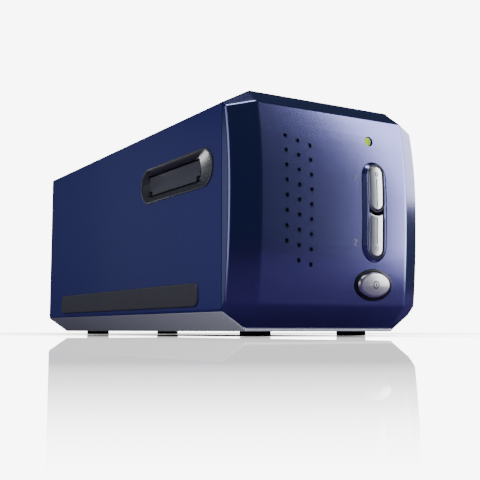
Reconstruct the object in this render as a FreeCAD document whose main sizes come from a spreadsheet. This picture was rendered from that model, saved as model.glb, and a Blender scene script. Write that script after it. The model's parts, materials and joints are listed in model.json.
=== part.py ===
import FreeCAD
import Part
import math
import os
import re
import Sketcher

# A desktop scanner for film strips and slides.
# Frame: +Z up, the front faces -Y, +X is to the right seen from the front.
# Origin: on the ground, below the middle of the whole outline. Millimetres.

SIZES = {
    # Overall outline
    "overall_width": 120,
    "overall_depth": 272,
    "overall_height": 122.5,
    # Shared clearances and overruns
    "overrun": 5,
    "near_enough": 0.01,
    "running_gap": 0.05,
    "fit_gap": 0.15,
    "loose_gap": 0.3,
    # Case section
    "case_wall": 2.4,
    "top_corner_run": 15.5,
    "top_corner_drop": 8,
    "tray_height": 9.5,
    "tray_slope_run": 14,
    "tray_floor": 2,
    "tray_lip": 0.5,
    # Feet
    "foot_height": 2.3,
    "foot_radius": 8,
    "foot_spigot_radius": 3,
    "front_foot_inset": 15,
    "rear_foot_inset": 17.5,
    "front_foot_setback": 32,
    "rear_foot_setback": 18,
    # Faceted front fascia
    "bulge_depth": 7.4,
    "bulge_drop": 49.5,
    "upper_face_radius": 208,
    "lower_face_radius": 490,
    "bevel_depth": 7.2,
    "bevel_width": 14,
    "crown_lead": 0.6,
    "crown_drop": 7.6,
    "chin_height": 15.2,
    "chin_lead": 0.6,
    "cheek_height": 16,
    "fascia_wall": 3,
    "hollow_edge_share": 0.6,
    "hollow_crease_share": 0.41,
    "spigot_root": 1,
    "spigot_length": 5,
    "spigot_wall": 1.6,
    # Dimples on the fascia
    "dimple_radius": 1.15,
    "dimple_depth": 0.9,
    "dimple_column_gap": 7.4,
    "dimple_edge_inset": 15,
    "dimple_drop": 23.7,
    "dimple_low_height": 38.8,
    "dimple_stagger": 1.8,
    "dimple_rows": 9,
    "dimple_outer_rows": 8,
    # Controls on the fascia
    "control_edge_inset": 21.8,
    "plinth_width": 15.6,
    "plinth_low": 38.4,
    "plinth_drop": 32.3,
    "plinth_proud": 1.7,
    "plinth_groove": 0.5,
    "plinth_slope": 1.6,
    "plinth_depth": 5.7,
    "flange_growth": 1.2,
    "flange_thickness": 1.4,
    "button_width": 9.2,
    "button_proud": 2.2,
    "button_gap": 0.35,
    "button_edge": 1,
    "button_split_share": 0.511583011583,
    "upper_button_drop": 1.9,
    "lower_button_lift": 2.2,
    "button_groove_width": 0.7,
    "button_groove_depth": 0.35,
    "groove_near_inset": 1.3,
    "groove_far_inset": 6.6,
    "button_joint_gap": 2.5,
    "button_web": 0.6,
    "button_flange": 0.9,
    "button_flange_thickness": 1,
    "button_flange_gap": 0.2,
    "stem_radius": 2,
    "power_height": 26.2,
    "power_cap_width": 20.8,
    "power_cap_rise": 13.4,
    "power_ring_width": 25,
    "power_ring_rise": 16.4,
    "power_ring_proud": 0.3,
    "power_ring_edge": 0.2,
    "power_proud": 2.6,
    "power_edge": 1.6,
    "power_ring_depth": 8,
    "oval_end_share": 0.75,
    "led_shift": 1.6,
    "led_drop": 20.5,
    "led_lens_radius": 2.3,
    "led_well_radius": 2.7,
    "led_well_depth": 1.1,
    "led_lens_round": 0.8,
    "led_lens_recess": 0.5,
    "led_lens_length": 8,
    "led_body_radius": 1.5,
    # Front circuit board
    "board_thickness": 1.6,
    "front_board_setback": 18.4,
    "front_board_half_width": 17,
    "front_board_low": 15,
    "front_board_drop": 12.5,
    "front_post_radius": 2.6,
    "front_post_inset": 3.4,
    "switch_size": 6,
    "switch_depth": 3.5,
    "plunger_radius": 1.7,
    "plunger_length": 2.4,
    "plunger_proud": 1.2,
    "plunger_gap": 0.2,
    "plunger_bore_depth": 2.9,
    # Film slot in each side of the case
    "slot_setback": 67.3,
    "slot_height_share": 0.652534562212,
    "slot_half_length": 42.6,
    "slot_radius": 10.1,
    "slot_rim": 0.9,
    "slot_proud": 0.4,
    "slot_depth": 8.4,
    "scoop_depth": 2.3,
    # Dust door of each slot
    "door_length": 60.4,
    "door_thickness": 1.6,
    "door_depth": 2,
    "door_drop": 5.2,
    "door_height": 10.7,
    "door_far_gap": 7.1,
    "door_side_gap": 0.4,
    "door_top_gap": 1,
    "door_foot_gap": 0.6,
    "door_ear_length": 3.6,
    "door_ear_height": 2.4,
    "hinge_radius": 0.8,
    "hinge_reach": 1.2,
    "door_spring_outer": 1.3,
    "door_spring_bore": 0.9,
    "door_spring_length": 3,
    # Grip strip along each side
    "strip_front_setback": 39.8,
    "strip_rear_setback": 29.2,
    "strip_low": 14.6,
    "strip_high": 26.8,
    "strip_corner": 4,
    "strip_proud": 1,
    "strip_seat": 0.9,
    "strip_round": 0.8,
    # Rear panel with its sockets
    "rear_panel_thickness": 2.4,
    "rear_panel_recess": 1,
    "vent_pitch": 6,
    "vent_count": 7,
    "vent_width": 2.4,
    "vent_low_drop": 60.5,
    "vent_high_drop": 22.5,
    # Chassis
    "chassis_low": 12,
    "chassis_plate": 2,
    "chassis_side_gap": 7,
    "chassis_front_setback": 28,
    "chassis_rear_setback": 5,
    "upright_thickness": 4,
    "upright_lift": 7,
    "upright_belt_gap": 14.4,
    "upright_side_gap": 12,
    "rear_upright_setback": 42,
    "board_bay_height": 34,
    "board_bay_right_gap": 1,
    "board_bay_left_gap": 1.5,
    "ribbon_bay_half_width": 6.5,
    "ribbon_bay_height": 27,
    "side_plate_setback": 2.2,
    "side_plate_thickness": 2,
    "side_plate_inset": 14,
    "side_plate_corner": 5,
    "boss_side_gap": 20,
    "boss_front_inset": 8,
    "boss_rear_inset": 10,
    "boss_radius": 4,
    "screw_radius": 1.5,
    "screw_head_radius": 3,
    "screw_head_height": 1.4,
    "screw_length": 11,
    "screw_recess": 0.4,
    "board_post_radius": 3,
    "board_screw_length": 4,
    "screw_tip_gap": 0.5,
    # Film channel
    "film_gate_shift": 5.3,
    "film_gate_half": 16,
    "film_gate_inset": 7,
    "channel_side_gap": 13.2,
    "channel_half_depth": 30,
    "channel_rail": 2,
    "guide_thickness": 2.4,
    "channel_floor_drop": 3,
    "channel_height": 9.4,
    # Scan carriage
    "carriage_belt_gap": 10.6,
    "carriage_wall": 2.4,
    "carriage_gate_reach": 20.6,
    "carriage_rear_gap": 16,
    "carriage_lift": 8,
    "carriage_film_gap": 1.4,
    "light_window_inset": 11,
    "light_window_drop": 2,
    "lamp_film_gap": 1.2,
    "lamp_arm_height": 13.2,
    "lamp_arm_setback": 2,
    "spine_gate_gap": 47.9,
    "spine_depth": 10.5,
    "spine_wall": 3,
    "lamp_house_reach": 17.4,
    "bearing_drop": 6,
    "bearing_side_inset": 1,
    "bearing_length": 14,
    "bearing_inset": 2,
    "rod_radius": 3,
    "rod_inset": 9,
    "rod_height_share": 0.285714285714,
    "rod_clip_thickness": 1.2,
    "rod_clip_reach": 4.2,
    "flag_length": 6,
    "flag_thickness": 1,
    "flag_width": 5,
    "flag_lift": 2,
    # Optics on the carriage
    "optical_lift": 12,
    "mirror_length": 22,
    "mirror_inset": 5,
    "mirror_thickness": 2,
    "mirror_holder_reach": 15.6,
    "mirror_holder_lift": 7,
    "diffuser_lift": 1,
    "diffuser_thickness": 1.5,
    "lamp_led_size": 3,
    "lamp_led_height": 1.2,
    "lamp_led_margin": 1,
    "lamp_led_count": 7,
    "lamp_board_inset": 5,
    "lamp_board_half_depth": 9,
    "lens_setback": 11,
    "lens_length": 28,
    "lens_radius": 8.6,
    "lens_bore": 7,
    "lens_edge": 1.2,
    "lens_bulge": 1.4,
    "lens_inset": 1,
    "clamp_slit": 2,
    "lens_block_half_width": 12,
    "lens_block_length": 14,
    "lens_block_drop": 2,
    "sensor_setback": 12,
    "sensor_board_inset": 4,
    "sensor_board_drop": 1,
    "sensor_inset": 10,
    "sensor_half_height": 5,
    "sensor_depth": 3.5,
    "sensor_window_depth": 0.8,
    # Belt drive
    "belt_side_gap": 22.4,
    "drive_pulley_setback": 41,
    "idler_pulley_inset": 13,
    "pulley_radius": 4.4,
    "belt_thickness": 1.2,
    "belt_lift": 1.4,
    "belt_width": 5,
    "pulley_flange_radius": 6.4,
    "pulley_flange": 0.6,
    "pulley_side_gap": 0.2,
    "pulley_hub_radius": 3.4,
    "axle_collar_radius": 2.4,
    "axle_collar": 0.5,
    "axle_head": 0.5,
    "axle_lift": 8,
    "axle_radius": 1.5,
    "gear_module": 0.5,
    "gear_teeth": 44,
    "pinion_teeth": 16,
    "gear_width": 3,
    "gear_drop": 4,
    "tooth_top": 0.4,
    "tooth_root": 0.6,
    "tooth_lean": 0.2,
    "tooth_backlash": 0.2,
    "motor_radius": 12.5,
    "motor_length": 20,
    "motor_collar_radius": 4,
    "motor_collar": 1.5,
    "motor_shaft_radius": 1,
    "bracket_drop": 6.6,
    "bracket_thickness": 1.8,
    "bracket_half_width": 14,
    "bracket_front_reach": 4,
    "bracket_rear_inset": 0.4,
    "bracket_post_radius": 2.4,
    "idler_block_half": 5,
    "clamp_half_length": 6,
    "clamp_belt_gap": 1.4,
    "clamp_height": 8,
    "clamp_gap": 0.4,
    # Main board and sockets
    "main_board_low": 20,
    "main_board_side_gap": 18,
    "main_board_belt_gap": 25.6,
    "main_board_wing": 10,
    "main_board_wing_length": 40,
    "main_board_length": 110,
    "main_board_rear_gap": 1,
    "board_post_inset": 4,
    "board_post_rear_inset": 22,
    "socket_pitch": 16,
    "usb_width": 12,
    "usb_height": 11,
    "usb_length": 16,
    "usb_shell": 0.6,
    "usb_depth": 9,
    "usb_tongue_width": 5.6,
    "usb_tongue_height": 3.2,
    "usb_tongue_back": 5,
    "jack_inset": 8,
    "jack_width": 9,
    "jack_height": 11,
    "jack_length": 14,
    "jack_bore": 3,
    "jack_depth": 9.5,
    "jack_pin_radius": 1,
    "jack_pin_back": 1,
    "panel_hole_gap": 0.4,
    # Parts on the main board
    "chip_inset_x": 26,
    "chip_inset_y": 42,
    "chip_size": 14,
    "chip_height": 1.8,
    "driver_chip_inset": 80,
    "driver_chip_size": 8,
    "capacitor_inset_x": 10,
    "capacitor_inset_y": 80,
    "capacitor_pitch": 10,
    "capacitor_radius": 4,
    "capacitor_height": 9,
    "connector_width": 12,
    "connector_depth": 5,
    "connector_height": 5,
    # Flat cable between the boards
    "ribbon_width": 10,
    "ribbon_thickness": 0.6,
    "ribbon_inset": 6.5,
    "ribbon_rest_height": 15,
    "ribbon_front_height": 24.4,
    "ribbon_rear_height": 24.1,
    "ribbon_bend": 8,
    # Home sensor
    "home_sensor_reach": 5,
    "home_sensor_cover": 7,
    "home_sensor_depth": 8,
    "home_sensor_height": 9,
    "home_sensor_slot": 3,
    "home_sensor_back": 3.5,
}

# Places that follow other sizes. Each word stands for its expression.
PLACES = {
    "front_foot_spread": "overall_width / 2 - tray_slope_run - front_foot_inset",
    "rear_foot_spread": "overall_width / 2 - tray_slope_run - rear_foot_inset",
    "bulge_height": "overall_height - bulge_drop",
    "dimple_first_x": "overall_width / 2 - bevel_width - dimple_edge_inset",
    "dimple_top_height": "overall_height - dimple_drop",
    "dimple_pitch": "(dimple_top_height - dimple_low_height) / (dimple_rows - 1)",
    "control_x": "overall_width / 2 - bevel_width - control_edge_inset",
    "plinth_high": "overall_height - plinth_drop",
    "upper_button_low": "plinth_low + (plinth_high - plinth_low) * button_split_share",
    "upper_button_high": "plinth_high - upper_button_drop",
    "lower_button_low": "plinth_low + lower_button_lift",
    "led_x": "control_x - led_shift",
    "led_height": "overall_height - led_drop",
    "front_board_high": "overall_height - front_board_drop",
    "slot_centre_y": "slot_setback - overall_depth / 2",
    "slot_centre_height":
        "chassis_low + chassis_plate + (overall_height - "
        "(chassis_low + chassis_plate)) * slot_height_share",
    "door_low": "slot_centre_height - door_drop",
    "door_high": "door_low + door_height",
    "strip_front_y": "strip_front_setback - overall_depth / 2",
    "strip_rear_y": "overall_depth / 2 - strip_rear_setback",
    "vent_low": "overall_height - vent_low_drop",
    "vent_high": "overall_height - vent_high_drop",
    "chassis_half_width": "overall_width / 2 - chassis_side_gap",
    "chassis_front_y": "chassis_front_setback - overall_depth / 2",
    "chassis_rear_y": "overall_depth / 2 - chassis_rear_setback",
    "upright_height": "rod_height + upright_lift",
    "upright_right_x": "belt_x - upright_belt_gap",
    "upright_left_x": "upright_side_gap - overall_width / 2",
    "rear_upright_y": "overall_depth / 2 - rear_upright_setback",
    "board_bay_right_x": "main_board_right_x + board_bay_right_gap",
    "board_bay_left_x": "main_board_left_x - board_bay_left_gap",
    "ribbon_bay_left_x": "ribbon_centre_x - ribbon_bay_half_width",
    "ribbon_bay_right_x": "ribbon_centre_x + ribbon_bay_half_width",
    "side_plate_x": "channel_half_width - side_plate_setback",
    "boss_x": "overall_width / 2 - boss_side_gap",
    "boss_front_y": "chassis_front_y + boss_front_inset",
    "boss_rear_y": "chassis_rear_y - boss_rear_inset",
    "film_gate_y": "slot_centre_y + film_gate_shift",
    "film_gate_half_width": "carriage_half_width - film_gate_inset",
    "channel_half_width": "overall_width / 2 - channel_side_gap",
    "channel_floor": "slot_centre_height - channel_floor_drop",
    "channel_roof": "channel_floor + channel_height",
    "carriage_half_width": "belt_x - carriage_belt_gap",
    "carriage_front_y": "film_gate_y - carriage_gate_reach",
    "carriage_rear_y": "rear_upright_y - carriage_rear_gap",
    "carriage_low": "rod_height + carriage_lift",
    "carriage_high": "channel_floor - guide_thickness - carriage_film_gap",
    "light_window_half_width": "carriage_half_width - light_window_inset",
    "light_window_high": "carriage_high - light_window_drop",
    "lamp_arm_low": "channel_roof + guide_thickness + lamp_film_gap",
    "lamp_arm_high": "lamp_arm_low + lamp_arm_height",
    "lamp_arm_front_y": "carriage_front_y + lamp_arm_setback",
    "spine_front_y": "film_gate_y + spine_gate_gap",
    "spine_rear_y": "spine_front_y + spine_depth",
    "lamp_house_rear_y": "film_gate_y + lamp_house_reach",
    "bearing_low": "rod_height - bearing_drop",
    "bearing_half_width": "carriage_half_width - bearing_side_inset",
    "rod_x": "carriage_half_width - rod_inset",
    "rod_height":
        "chassis_low + chassis_plate + (overall_height - "
        "(chassis_low + chassis_plate)) * rod_height_share",
    "flag_height": "carriage_low + flag_lift",
    "optical_height": "carriage_low + optical_lift",
    "mirror_half_width": "carriage_half_width - mirror_inset",
    "mirror_holder_front_y": "film_gate_y - mirror_holder_reach",
    "mirror_holder_high": "optical_height + mirror_holder_lift",
    "diffuser_low": "lamp_arm_low + diffuser_lift",
    "lamp_led_pitch":
        "(2 * (lamp_board_half_width - lamp_led_margin) - "
        "lamp_led_size) / (lamp_led_count - 1)",
    "lamp_board_half_width": "carriage_half_width - lamp_board_inset",
    "lens_front_y": "spine_rear_y + lens_setback",
    "lens_block_high": "carriage_high - lens_block_drop",
    "sensor_board_y": "carriage_rear_y - sensor_setback",
    "sensor_board_half_width": "carriage_half_width - sensor_board_inset",
    "sensor_board_high": "carriage_high - sensor_board_drop",
    "sensor_half_width": "carriage_half_width - sensor_inset",
    "belt_x": "overall_width / 2 - belt_side_gap",
    "drive_pulley_y": "overall_depth / 2 - drive_pulley_setback",
    "idler_pulley_y": "chassis_front_y + idler_pulley_inset",
    "belt_low": "carriage_low + belt_lift",
    "axle_high": "carriage_low + axle_lift",
    "gear_low": "carriage_low - gear_drop",
    "bracket_low": "carriage_low - bracket_drop",
    "bracket_front_y": "drive_pulley_y - bracket_front_reach",
    "bracket_rear_y": "chassis_rear_y - bracket_rear_inset",
    "clamp_right_x": "belt_x - clamp_belt_gap",
    "clamp_low": "carriage_low",
    "clamp_high": "carriage_low + clamp_height",
    "main_board_left_x": "main_board_side_gap - overall_width / 2",
    "main_board_right_x": "belt_x - main_board_belt_gap",
    "main_board_wing_x": "main_board_right_x + main_board_wing",
    "main_board_wing_y": "main_board_front_y + main_board_wing_length",
    "main_board_front_y": "main_board_rear_y - main_board_length",
    "main_board_rear_y": "chassis_rear_y - main_board_rear_gap",
    "board_post_rear_y": "main_board_rear_y - board_post_rear_inset",
    "usb_x": "jack_x + socket_pitch",
    "jack_x": "main_board_left_x + jack_inset",
    "chip_x": "main_board_left_x + chip_inset_x",
    "chip_y": "main_board_front_y + chip_inset_y",
    "driver_chip_y": "main_board_front_y + driver_chip_inset",
    "capacitor_x": "main_board_left_x + capacitor_inset_x",
    "capacitor_y": "main_board_front_y + capacitor_inset_y",
    "ribbon_centre_x": "main_board_wing_x - ribbon_inset",
    "home_sensor_left_x": "-carriage_half_width - home_sensor_reach",
    "home_sensor_right_x": "home_sensor_cover - carriage_half_width",
}

# Shared places of the case and the fascia, written as expressions in the sizes above.
HALF_WIDTH = "(overall_width / 2)"
FRONT_Y = "(-overall_depth / 2)"
REAR_Y = "(overall_depth / 2)"
TOP = "overall_height"
SEAM_Y = "(-overall_depth / 2 + button_proud + bevel_depth + bulge_depth)"
TRAY_LOW = "foot_height"
TRAY_DECK = "(foot_height + tray_floor)"
SEAM_HEIGHT = "(foot_height + tray_height)"
WALL_TOP = "(overall_height - top_corner_drop)"
TOP_HALF = "(overall_width / 2 - top_corner_run)"
TRAY_HALF = "(overall_width / 2 - tray_slope_run)"
EDGE_Y = "(%s - bulge_depth)" % SEAM_Y
FACE_Y = "(%s - bulge_depth - bevel_depth)" % SEAM_Y
CROWN_HEIGHT = "(overall_height - crown_drop)"
DECK = "(chassis_low + chassis_plate)"
BOARD_BACK_Y = "(%s + front_board_setback)" % FACE_Y
BOARD_FRONT_Y = "(%s + front_board_setback - board_thickness)" % FACE_Y
SWITCH_FRONT_Y = "(%s - switch_depth)" % BOARD_FRONT_Y
STEM_END_Y = "(%s - plunger_proud - plunger_gap)" % SWITCH_FRONT_Y
DOOR_REAR_Y = "(slot_centre_y + slot_half_length - door_far_gap)"
DOOR_FRONT_Y = "(%s - door_length)" % DOOR_REAR_Y
TUNNEL_LOW = "(door_low - door_foot_gap)"
TUNNEL_HIGH = "(door_high + door_top_gap)"
HINGE_HEIGHT = "(door_low + door_thickness / 2)"
PANEL_FRONT_Y = "(%s - rear_panel_recess - rear_panel_thickness)" % REAR_Y
PANEL_REAR_Y = "(%s - rear_panel_recess)" % REAR_Y
BELT_INNER_X = "(belt_x - pulley_radius - running_gap - belt_thickness)"
GEAR_RADIUS = "(gear_module * gear_teeth / 2)"
PINION_RADIUS = "(gear_module * pinion_teeth / 2)"
MOTOR_Y = "(drive_pulley_y + %s + %s)" % (GEAR_RADIUS, PINION_RADIUS)
MAIN_BOARD_TOP = "(main_board_low + board_thickness)"

AXES = {"x": ("YZ_Plane", 1), "y": ("XZ_Plane", -1), "z": ("XY_Plane", 1)}
WORD = re.compile(r"\b[a-z][a-z_]*\b")

doc = FreeCAD.newDocument("film_scanner")
sheet = doc.addObject("Spreadsheet::Sheet", "Sizes")
nodes = []


def fill_sheet():
    """Writes each size into the sheet under its own alias."""
    for row, (word, value) in enumerate(SIZES.items(), start=1):
        sheet.set("A%d" % row, word)
        sheet.set("B%d" % row, str(value))
        sheet.setAlias("B%d" % row, word)
    doc.recompute()


def in_sizes(expression):
    """An expression in which each derived place is written out in sizes."""
    text = str(expression)
    while any(word in PLACES for word in WORD.findall(text)):
        text = WORD.sub(lambda match: "(%s)" % PLACES[match.group(0)]
                        if match.group(0) in PLACES else match.group(0), text)
    return text


def linked(expression):
    """An expression with each size word turned into a reference to the sheet."""
    def swap(match):
        word = match.group(0)
        return "Sizes." + word if word in SIZES else word
    return WORD.sub(swap, in_sizes(expression))


def value(expression):
    """The number that an expression has now."""
    return float(sheet.evalExpression(in_sizes(expression)))


def negative(expression):
    return "(-(%s))" % expression


def bind(item, name, expression):
    item.setExpression(name, linked(expression))


def node(item, label):
    """Keeps a finished sub-part under the name of its file."""
    item.Label = label
    nodes.append(item)
    return item


# Sketch outlines

def fix_point(sketch, edge, end, u, v):
    """Holds one end of an edge at the place that two expressions give."""
    for kind, expression in (("DistanceX", u), ("DistanceY", v)):
        number = value(expression)
        index = sketch.addConstraint(Sketcher.Constraint(kind, -1, 1, edge, end, number))
        sketch.setExpression("Constraints[%d]" % index, linked(expression))


def fix_radius(sketch, edge, radius):
    index = sketch.addConstraint(Sketcher.Constraint("Radius", edge, value(radius)))
    sketch.setExpression("Constraints[%d]" % index, linked(radius))


def arc_between(start, end, radius, side):
    """An arc from start to end that swells to the left (side 1) or right (-1) of the way."""
    chord = end.sub(start)
    middle = start.add(end).multiply(0.5)
    left = FreeCAD.Vector(-chord.y, chord.x, 0).normalize()
    reach = math.sqrt(max(radius ** 2 - (chord.Length / 2) ** 2, 0))
    centre = middle.sub(left.multiply(side * reach))
    first, last = (end, start) if side > 0 else (start, end)
    begin = math.atan2(first.y - centre.y, first.x - centre.x)
    finish = math.atan2(last.y - centre.y, last.x - centre.x)
    if finish < begin:
        finish += 2 * math.pi
    circle = Part.Circle(centre, FreeCAD.Vector(0, 0, 1), radius)
    return Part.ArcOfCircle(circle, begin, finish)


def polygon(corners):
    """A closed outline. A corner is (u, v), or (u, v, radius, side) where an arc leaves it."""
    def draw(sketch):
        spots = [FreeCAD.Vector(value(c[0]), value(c[1]), 0) for c in corners]
        ends = []
        for i, corner in enumerate(corners):
            start = spots[i]
            end = spots[(i + 1) % len(corners)]
            if len(corner) == 2:
                ends.append((sketch.addGeometry(Part.LineSegment(start, end)), 1, 2))
            else:
                side = corner[3]
                edge = sketch.addGeometry(arc_between(start, end, value(corner[2]), side))
                ends.append((edge, 2, 1) if side > 0 else (edge, 1, 2))
        for i, corner in enumerate(corners):
            edge, first, last = ends[i]
            following = ends[(i + 1) % len(corners)]
            join = Sketcher.Constraint("Coincident", edge, last, following[0], following[1])
            sketch.addConstraint(join)
        for i, corner in enumerate(corners):
            edge, first, last = ends[i]
            fix_point(sketch, edge, first, corner[0], corner[1])
            if len(corner) > 2:
                fix_radius(sketch, edge, corner[2])
    return draw


def rectangle(u_low, u_high, v_low, v_high):
    return polygon([(u_low, v_low), (u_high, v_low), (u_high, v_high), (u_low, v_high)])


def circle(u, v, radius):
    """A full circle."""
    def draw(sketch):
        centre = FreeCAD.Vector(value(u), value(v), 0)
        round_edge = Part.Circle(centre, FreeCAD.Vector(0, 0, 1), value(radius))
        edge = sketch.addGeometry(round_edge)
        fix_point(sketch, edge, 3, u, v)
        fix_radius(sketch, edge, radius)
    return draw


def oblong(u_first, v_first, u_last, v_last, radius):
    """Two half circles joined by straight sides, along u or along v."""
    def draw(sketch):
        first = FreeCAD.Vector(value(u_first), value(v_first), 0)
        last = FreeCAD.Vector(value(u_last), value(v_last), 0)
        reach = value(radius)
        way = last.sub(first).normalize()
        turn = math.atan2(way.y, way.x)
        side = FreeCAD.Vector(-way.y * reach, way.x * reach, 0)
        axis = FreeCAD.Vector(0, 0, 1)
        near = Part.ArcOfCircle(Part.Circle(first, axis, reach), turn + math.pi / 2,
                                turn + 3 * math.pi / 2)
        far = Part.ArcOfCircle(Part.Circle(last, axis, reach), turn - math.pi / 2,
                               turn + math.pi / 2)
        edges = [sketch.addGeometry(near),
                 sketch.addGeometry(Part.LineSegment(first.sub(side), last.sub(side))),
                 sketch.addGeometry(far),
                 sketch.addGeometry(Part.LineSegment(last.add(side), first.add(side)))]
        for i in range(4):
            after = edges[(i + 1) % 4]
            sketch.addConstraint(Sketcher.Constraint("Tangent", edges[i], 2, after, 1))
        fix_point(sketch, edges[0], 3, u_first, v_first)
        fix_point(sketch, edges[2], 3, u_last, v_last)
        fix_radius(sketch, edges[0], radius)
    return draw


def rounded_rectangle(u_low, u_high, v_low, v_high, corner):
    """A rectangle whose four corners are quarter circles."""
    u_in = "(%s + %s)" % (u_low, corner)
    u_out = "(%s - %s)" % (u_high, corner)
    v_in = "(%s + %s)" % (v_low, corner)
    v_out = "(%s - %s)" % (v_high, corner)
    return polygon([(u_in, v_low), (u_out, v_low, corner, -1), (u_high, v_in),
                    (u_high, v_out, corner, -1), (u_out, v_high),
                    (u_in, v_high, corner, -1), (u_low, v_out), (u_low, v_in, corner, -1)])


# Solids made from outlines

def new_body(name):
    return doc.addObject("PartDesign::Body", name)


def sketch_on(body, axis, place, outlines):
    """A sketch across an axis of the body, at a place along that axis."""
    role, sign = AXES[axis]
    plane = [item for item in body.Origin.OriginFeatures if item.Role == role][0]
    sketch = body.newObject("Sketcher::SketchObject", body.Name + "_outline")
    sketch.AttachmentSupport = [(plane, "")]
    sketch.MapMode = "FlatFace"
    bind(sketch, "AttachmentOffset.Base.z", place if sign > 0 else negative(place))
    for draw in outlines:
        draw(sketch)
    return sketch


def slab(body, axis, low, high, *outlines, cut=False):
    """Adds or cuts the prism of some outlines between two places along an axis."""
    sign = AXES[axis][1]
    start = low if (sign > 0) != cut else high
    sketch = sketch_on(body, axis, start, outlines)
    kind = "Pocket" if cut else "Pad"
    feature = body.newObject("PartDesign::" + kind, body.Name + "_" + kind.lower())
    feature.Profile = sketch
    bind(feature, "Length", "%s - (%s)" % (high, low))
    doc.recompute()
    return feature


def cut_slab(body, axis, low, high, *outlines):
    return slab(body, axis, low, high, *outlines, cut=True)


def fillet(body, radius, wanted):
    """Rounds those edges of the body's newest feature that the test accepts."""
    base = body.Tip
    names = ["Edge%d" % (i + 1) for i, edge in enumerate(base.Shape.Edges) if wanted(edge)]
    feature = body.newObject("PartDesign::Fillet", body.Name + "_round")
    feature.Base = (base, names)
    bind(feature, "Radius", radius)
    doc.recompute()
    return feature


# Plain primitives and booleans

def box(name, x_low, x_high, y_low, y_high, z_low, z_high):
    item = doc.addObject("Part::Box", name)
    bind(item, "Length", "%s - (%s)" % (x_high, x_low))
    bind(item, "Width", "%s - (%s)" % (y_high, y_low))
    bind(item, "Height", "%s - (%s)" % (z_high, z_low))
    bind(item, "Placement.Base.x", x_low)
    bind(item, "Placement.Base.y", y_low)
    bind(item, "Placement.Base.z", z_low)
    return item


def cylinder(name, axis, radius, low, high, first, second):
    """A cylinder along an axis. first and second place it across, in the order X, Y, Z."""
    item = doc.addObject("Part::Cylinder", name)
    bind(item, "Radius", radius)
    bind(item, "Height", "%s - (%s)" % (high, low))
    turns = {"x": (0, 90, 0), "y": (0, 0, -90), "z": (0, 0, 0)}
    rotation = FreeCAD.Rotation(*turns[axis])
    item.Placement = FreeCAD.Placement(FreeCAD.Vector(0, 0, 0), rotation)
    others = [word for word in "xyz" if word != axis]
    bind(item, "Placement.Base." + axis, low)
    bind(item, "Placement.Base." + others[0], first)
    bind(item, "Placement.Base." + others[1], second)
    return item


def union(name, *items):
    item = doc.addObject("Part::MultiFuse", name)
    item.Shapes = list(items)
    item.Refine = True
    return item


def minus(name, base, *tools):
    item = doc.addObject("Part::Cut", name)
    item.Base = base
    item.Tool = tools[0] if len(tools) == 1 else group(name + "_tools", *tools)
    return item


def group(name, *items):
    """Several separate solids kept as one piece."""
    item = doc.addObject("Part::Compound", name)
    item.Links = list(items)
    return item


# Case

def case_corners(inset, low):
    """The upper section of the case, drawn inset from the outside, from low upwards."""
    half = "(%s - %s)" % (HALF_WIDTH, inset)
    top_half = "(%s - %s)" % (TOP_HALF, inset)
    shoulder = "(%s - %s)" % (WALL_TOP, inset)
    top = "(%s - %s)" % (TOP, inset)
    return [(negative(half), low), (half, low), (half, shoulder), (top_half, top),
            (negative(top_half), top), (negative(half), shoulder)]


def slot_outline(growth):
    """The oblong of a film slot, grown all round."""
    reach = "(slot_half_length - slot_radius)"
    return oblong("(slot_centre_y - %s)" % reach, "slot_centre_height",
                  "(slot_centre_y + %s)" % reach, "slot_centre_height",
                  "(slot_radius + (%s))" % growth)


def strip_outline(growth):
    """The long rounded outline of a grip strip, grown all round."""
    return rounded_rectangle("(strip_front_y - %s)" % growth, "(strip_rear_y + %s)" % growth,
                             "(strip_low - %s)" % growth, "(strip_high + %s)" % growth,
                             "(strip_corner + %s)" % growth)


def row_places(count, pitch):
    """The places of a centred row, as expressions."""
    number = int(value(count))
    return ["((%d - (%s - 1) / 2) * %s)" % (i, count, pitch) for i in range(number)]


def across(side, near, far):
    """The low and high X of something between two distances from the middle, on one side."""
    if side > 0:
        return near, far
    return negative(far), negative(near)


def top_cover():
    body = new_body("CoverBody")
    slab(body, "y", SEAM_Y, REAR_Y, polygon(case_corners("0", SEAM_HEIGHT)))
    inner = case_corners("case_wall", "(%s - overrun)" % SEAM_HEIGHT)
    cut_slab(body, "y", "(%s - overrun)" % SEAM_Y, "(%s + overrun)" % REAR_Y, polygon(inner))
    for side in (-1, 1):
        low, high = across(side, "(%s - case_wall - overrun)" % HALF_WIDTH,
                           "(%s + overrun)" % HALF_WIDTH)
        cut_slab(body, "x", low, high, slot_outline("fit_gap"))
        low, high = across(side, "(%s - strip_seat)" % HALF_WIDTH,
                           "(%s + overrun)" % HALF_WIDTH)
        cut_slab(body, "x", low, high, strip_outline("fit_gap"))
    node(body, "top_cover")


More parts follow.
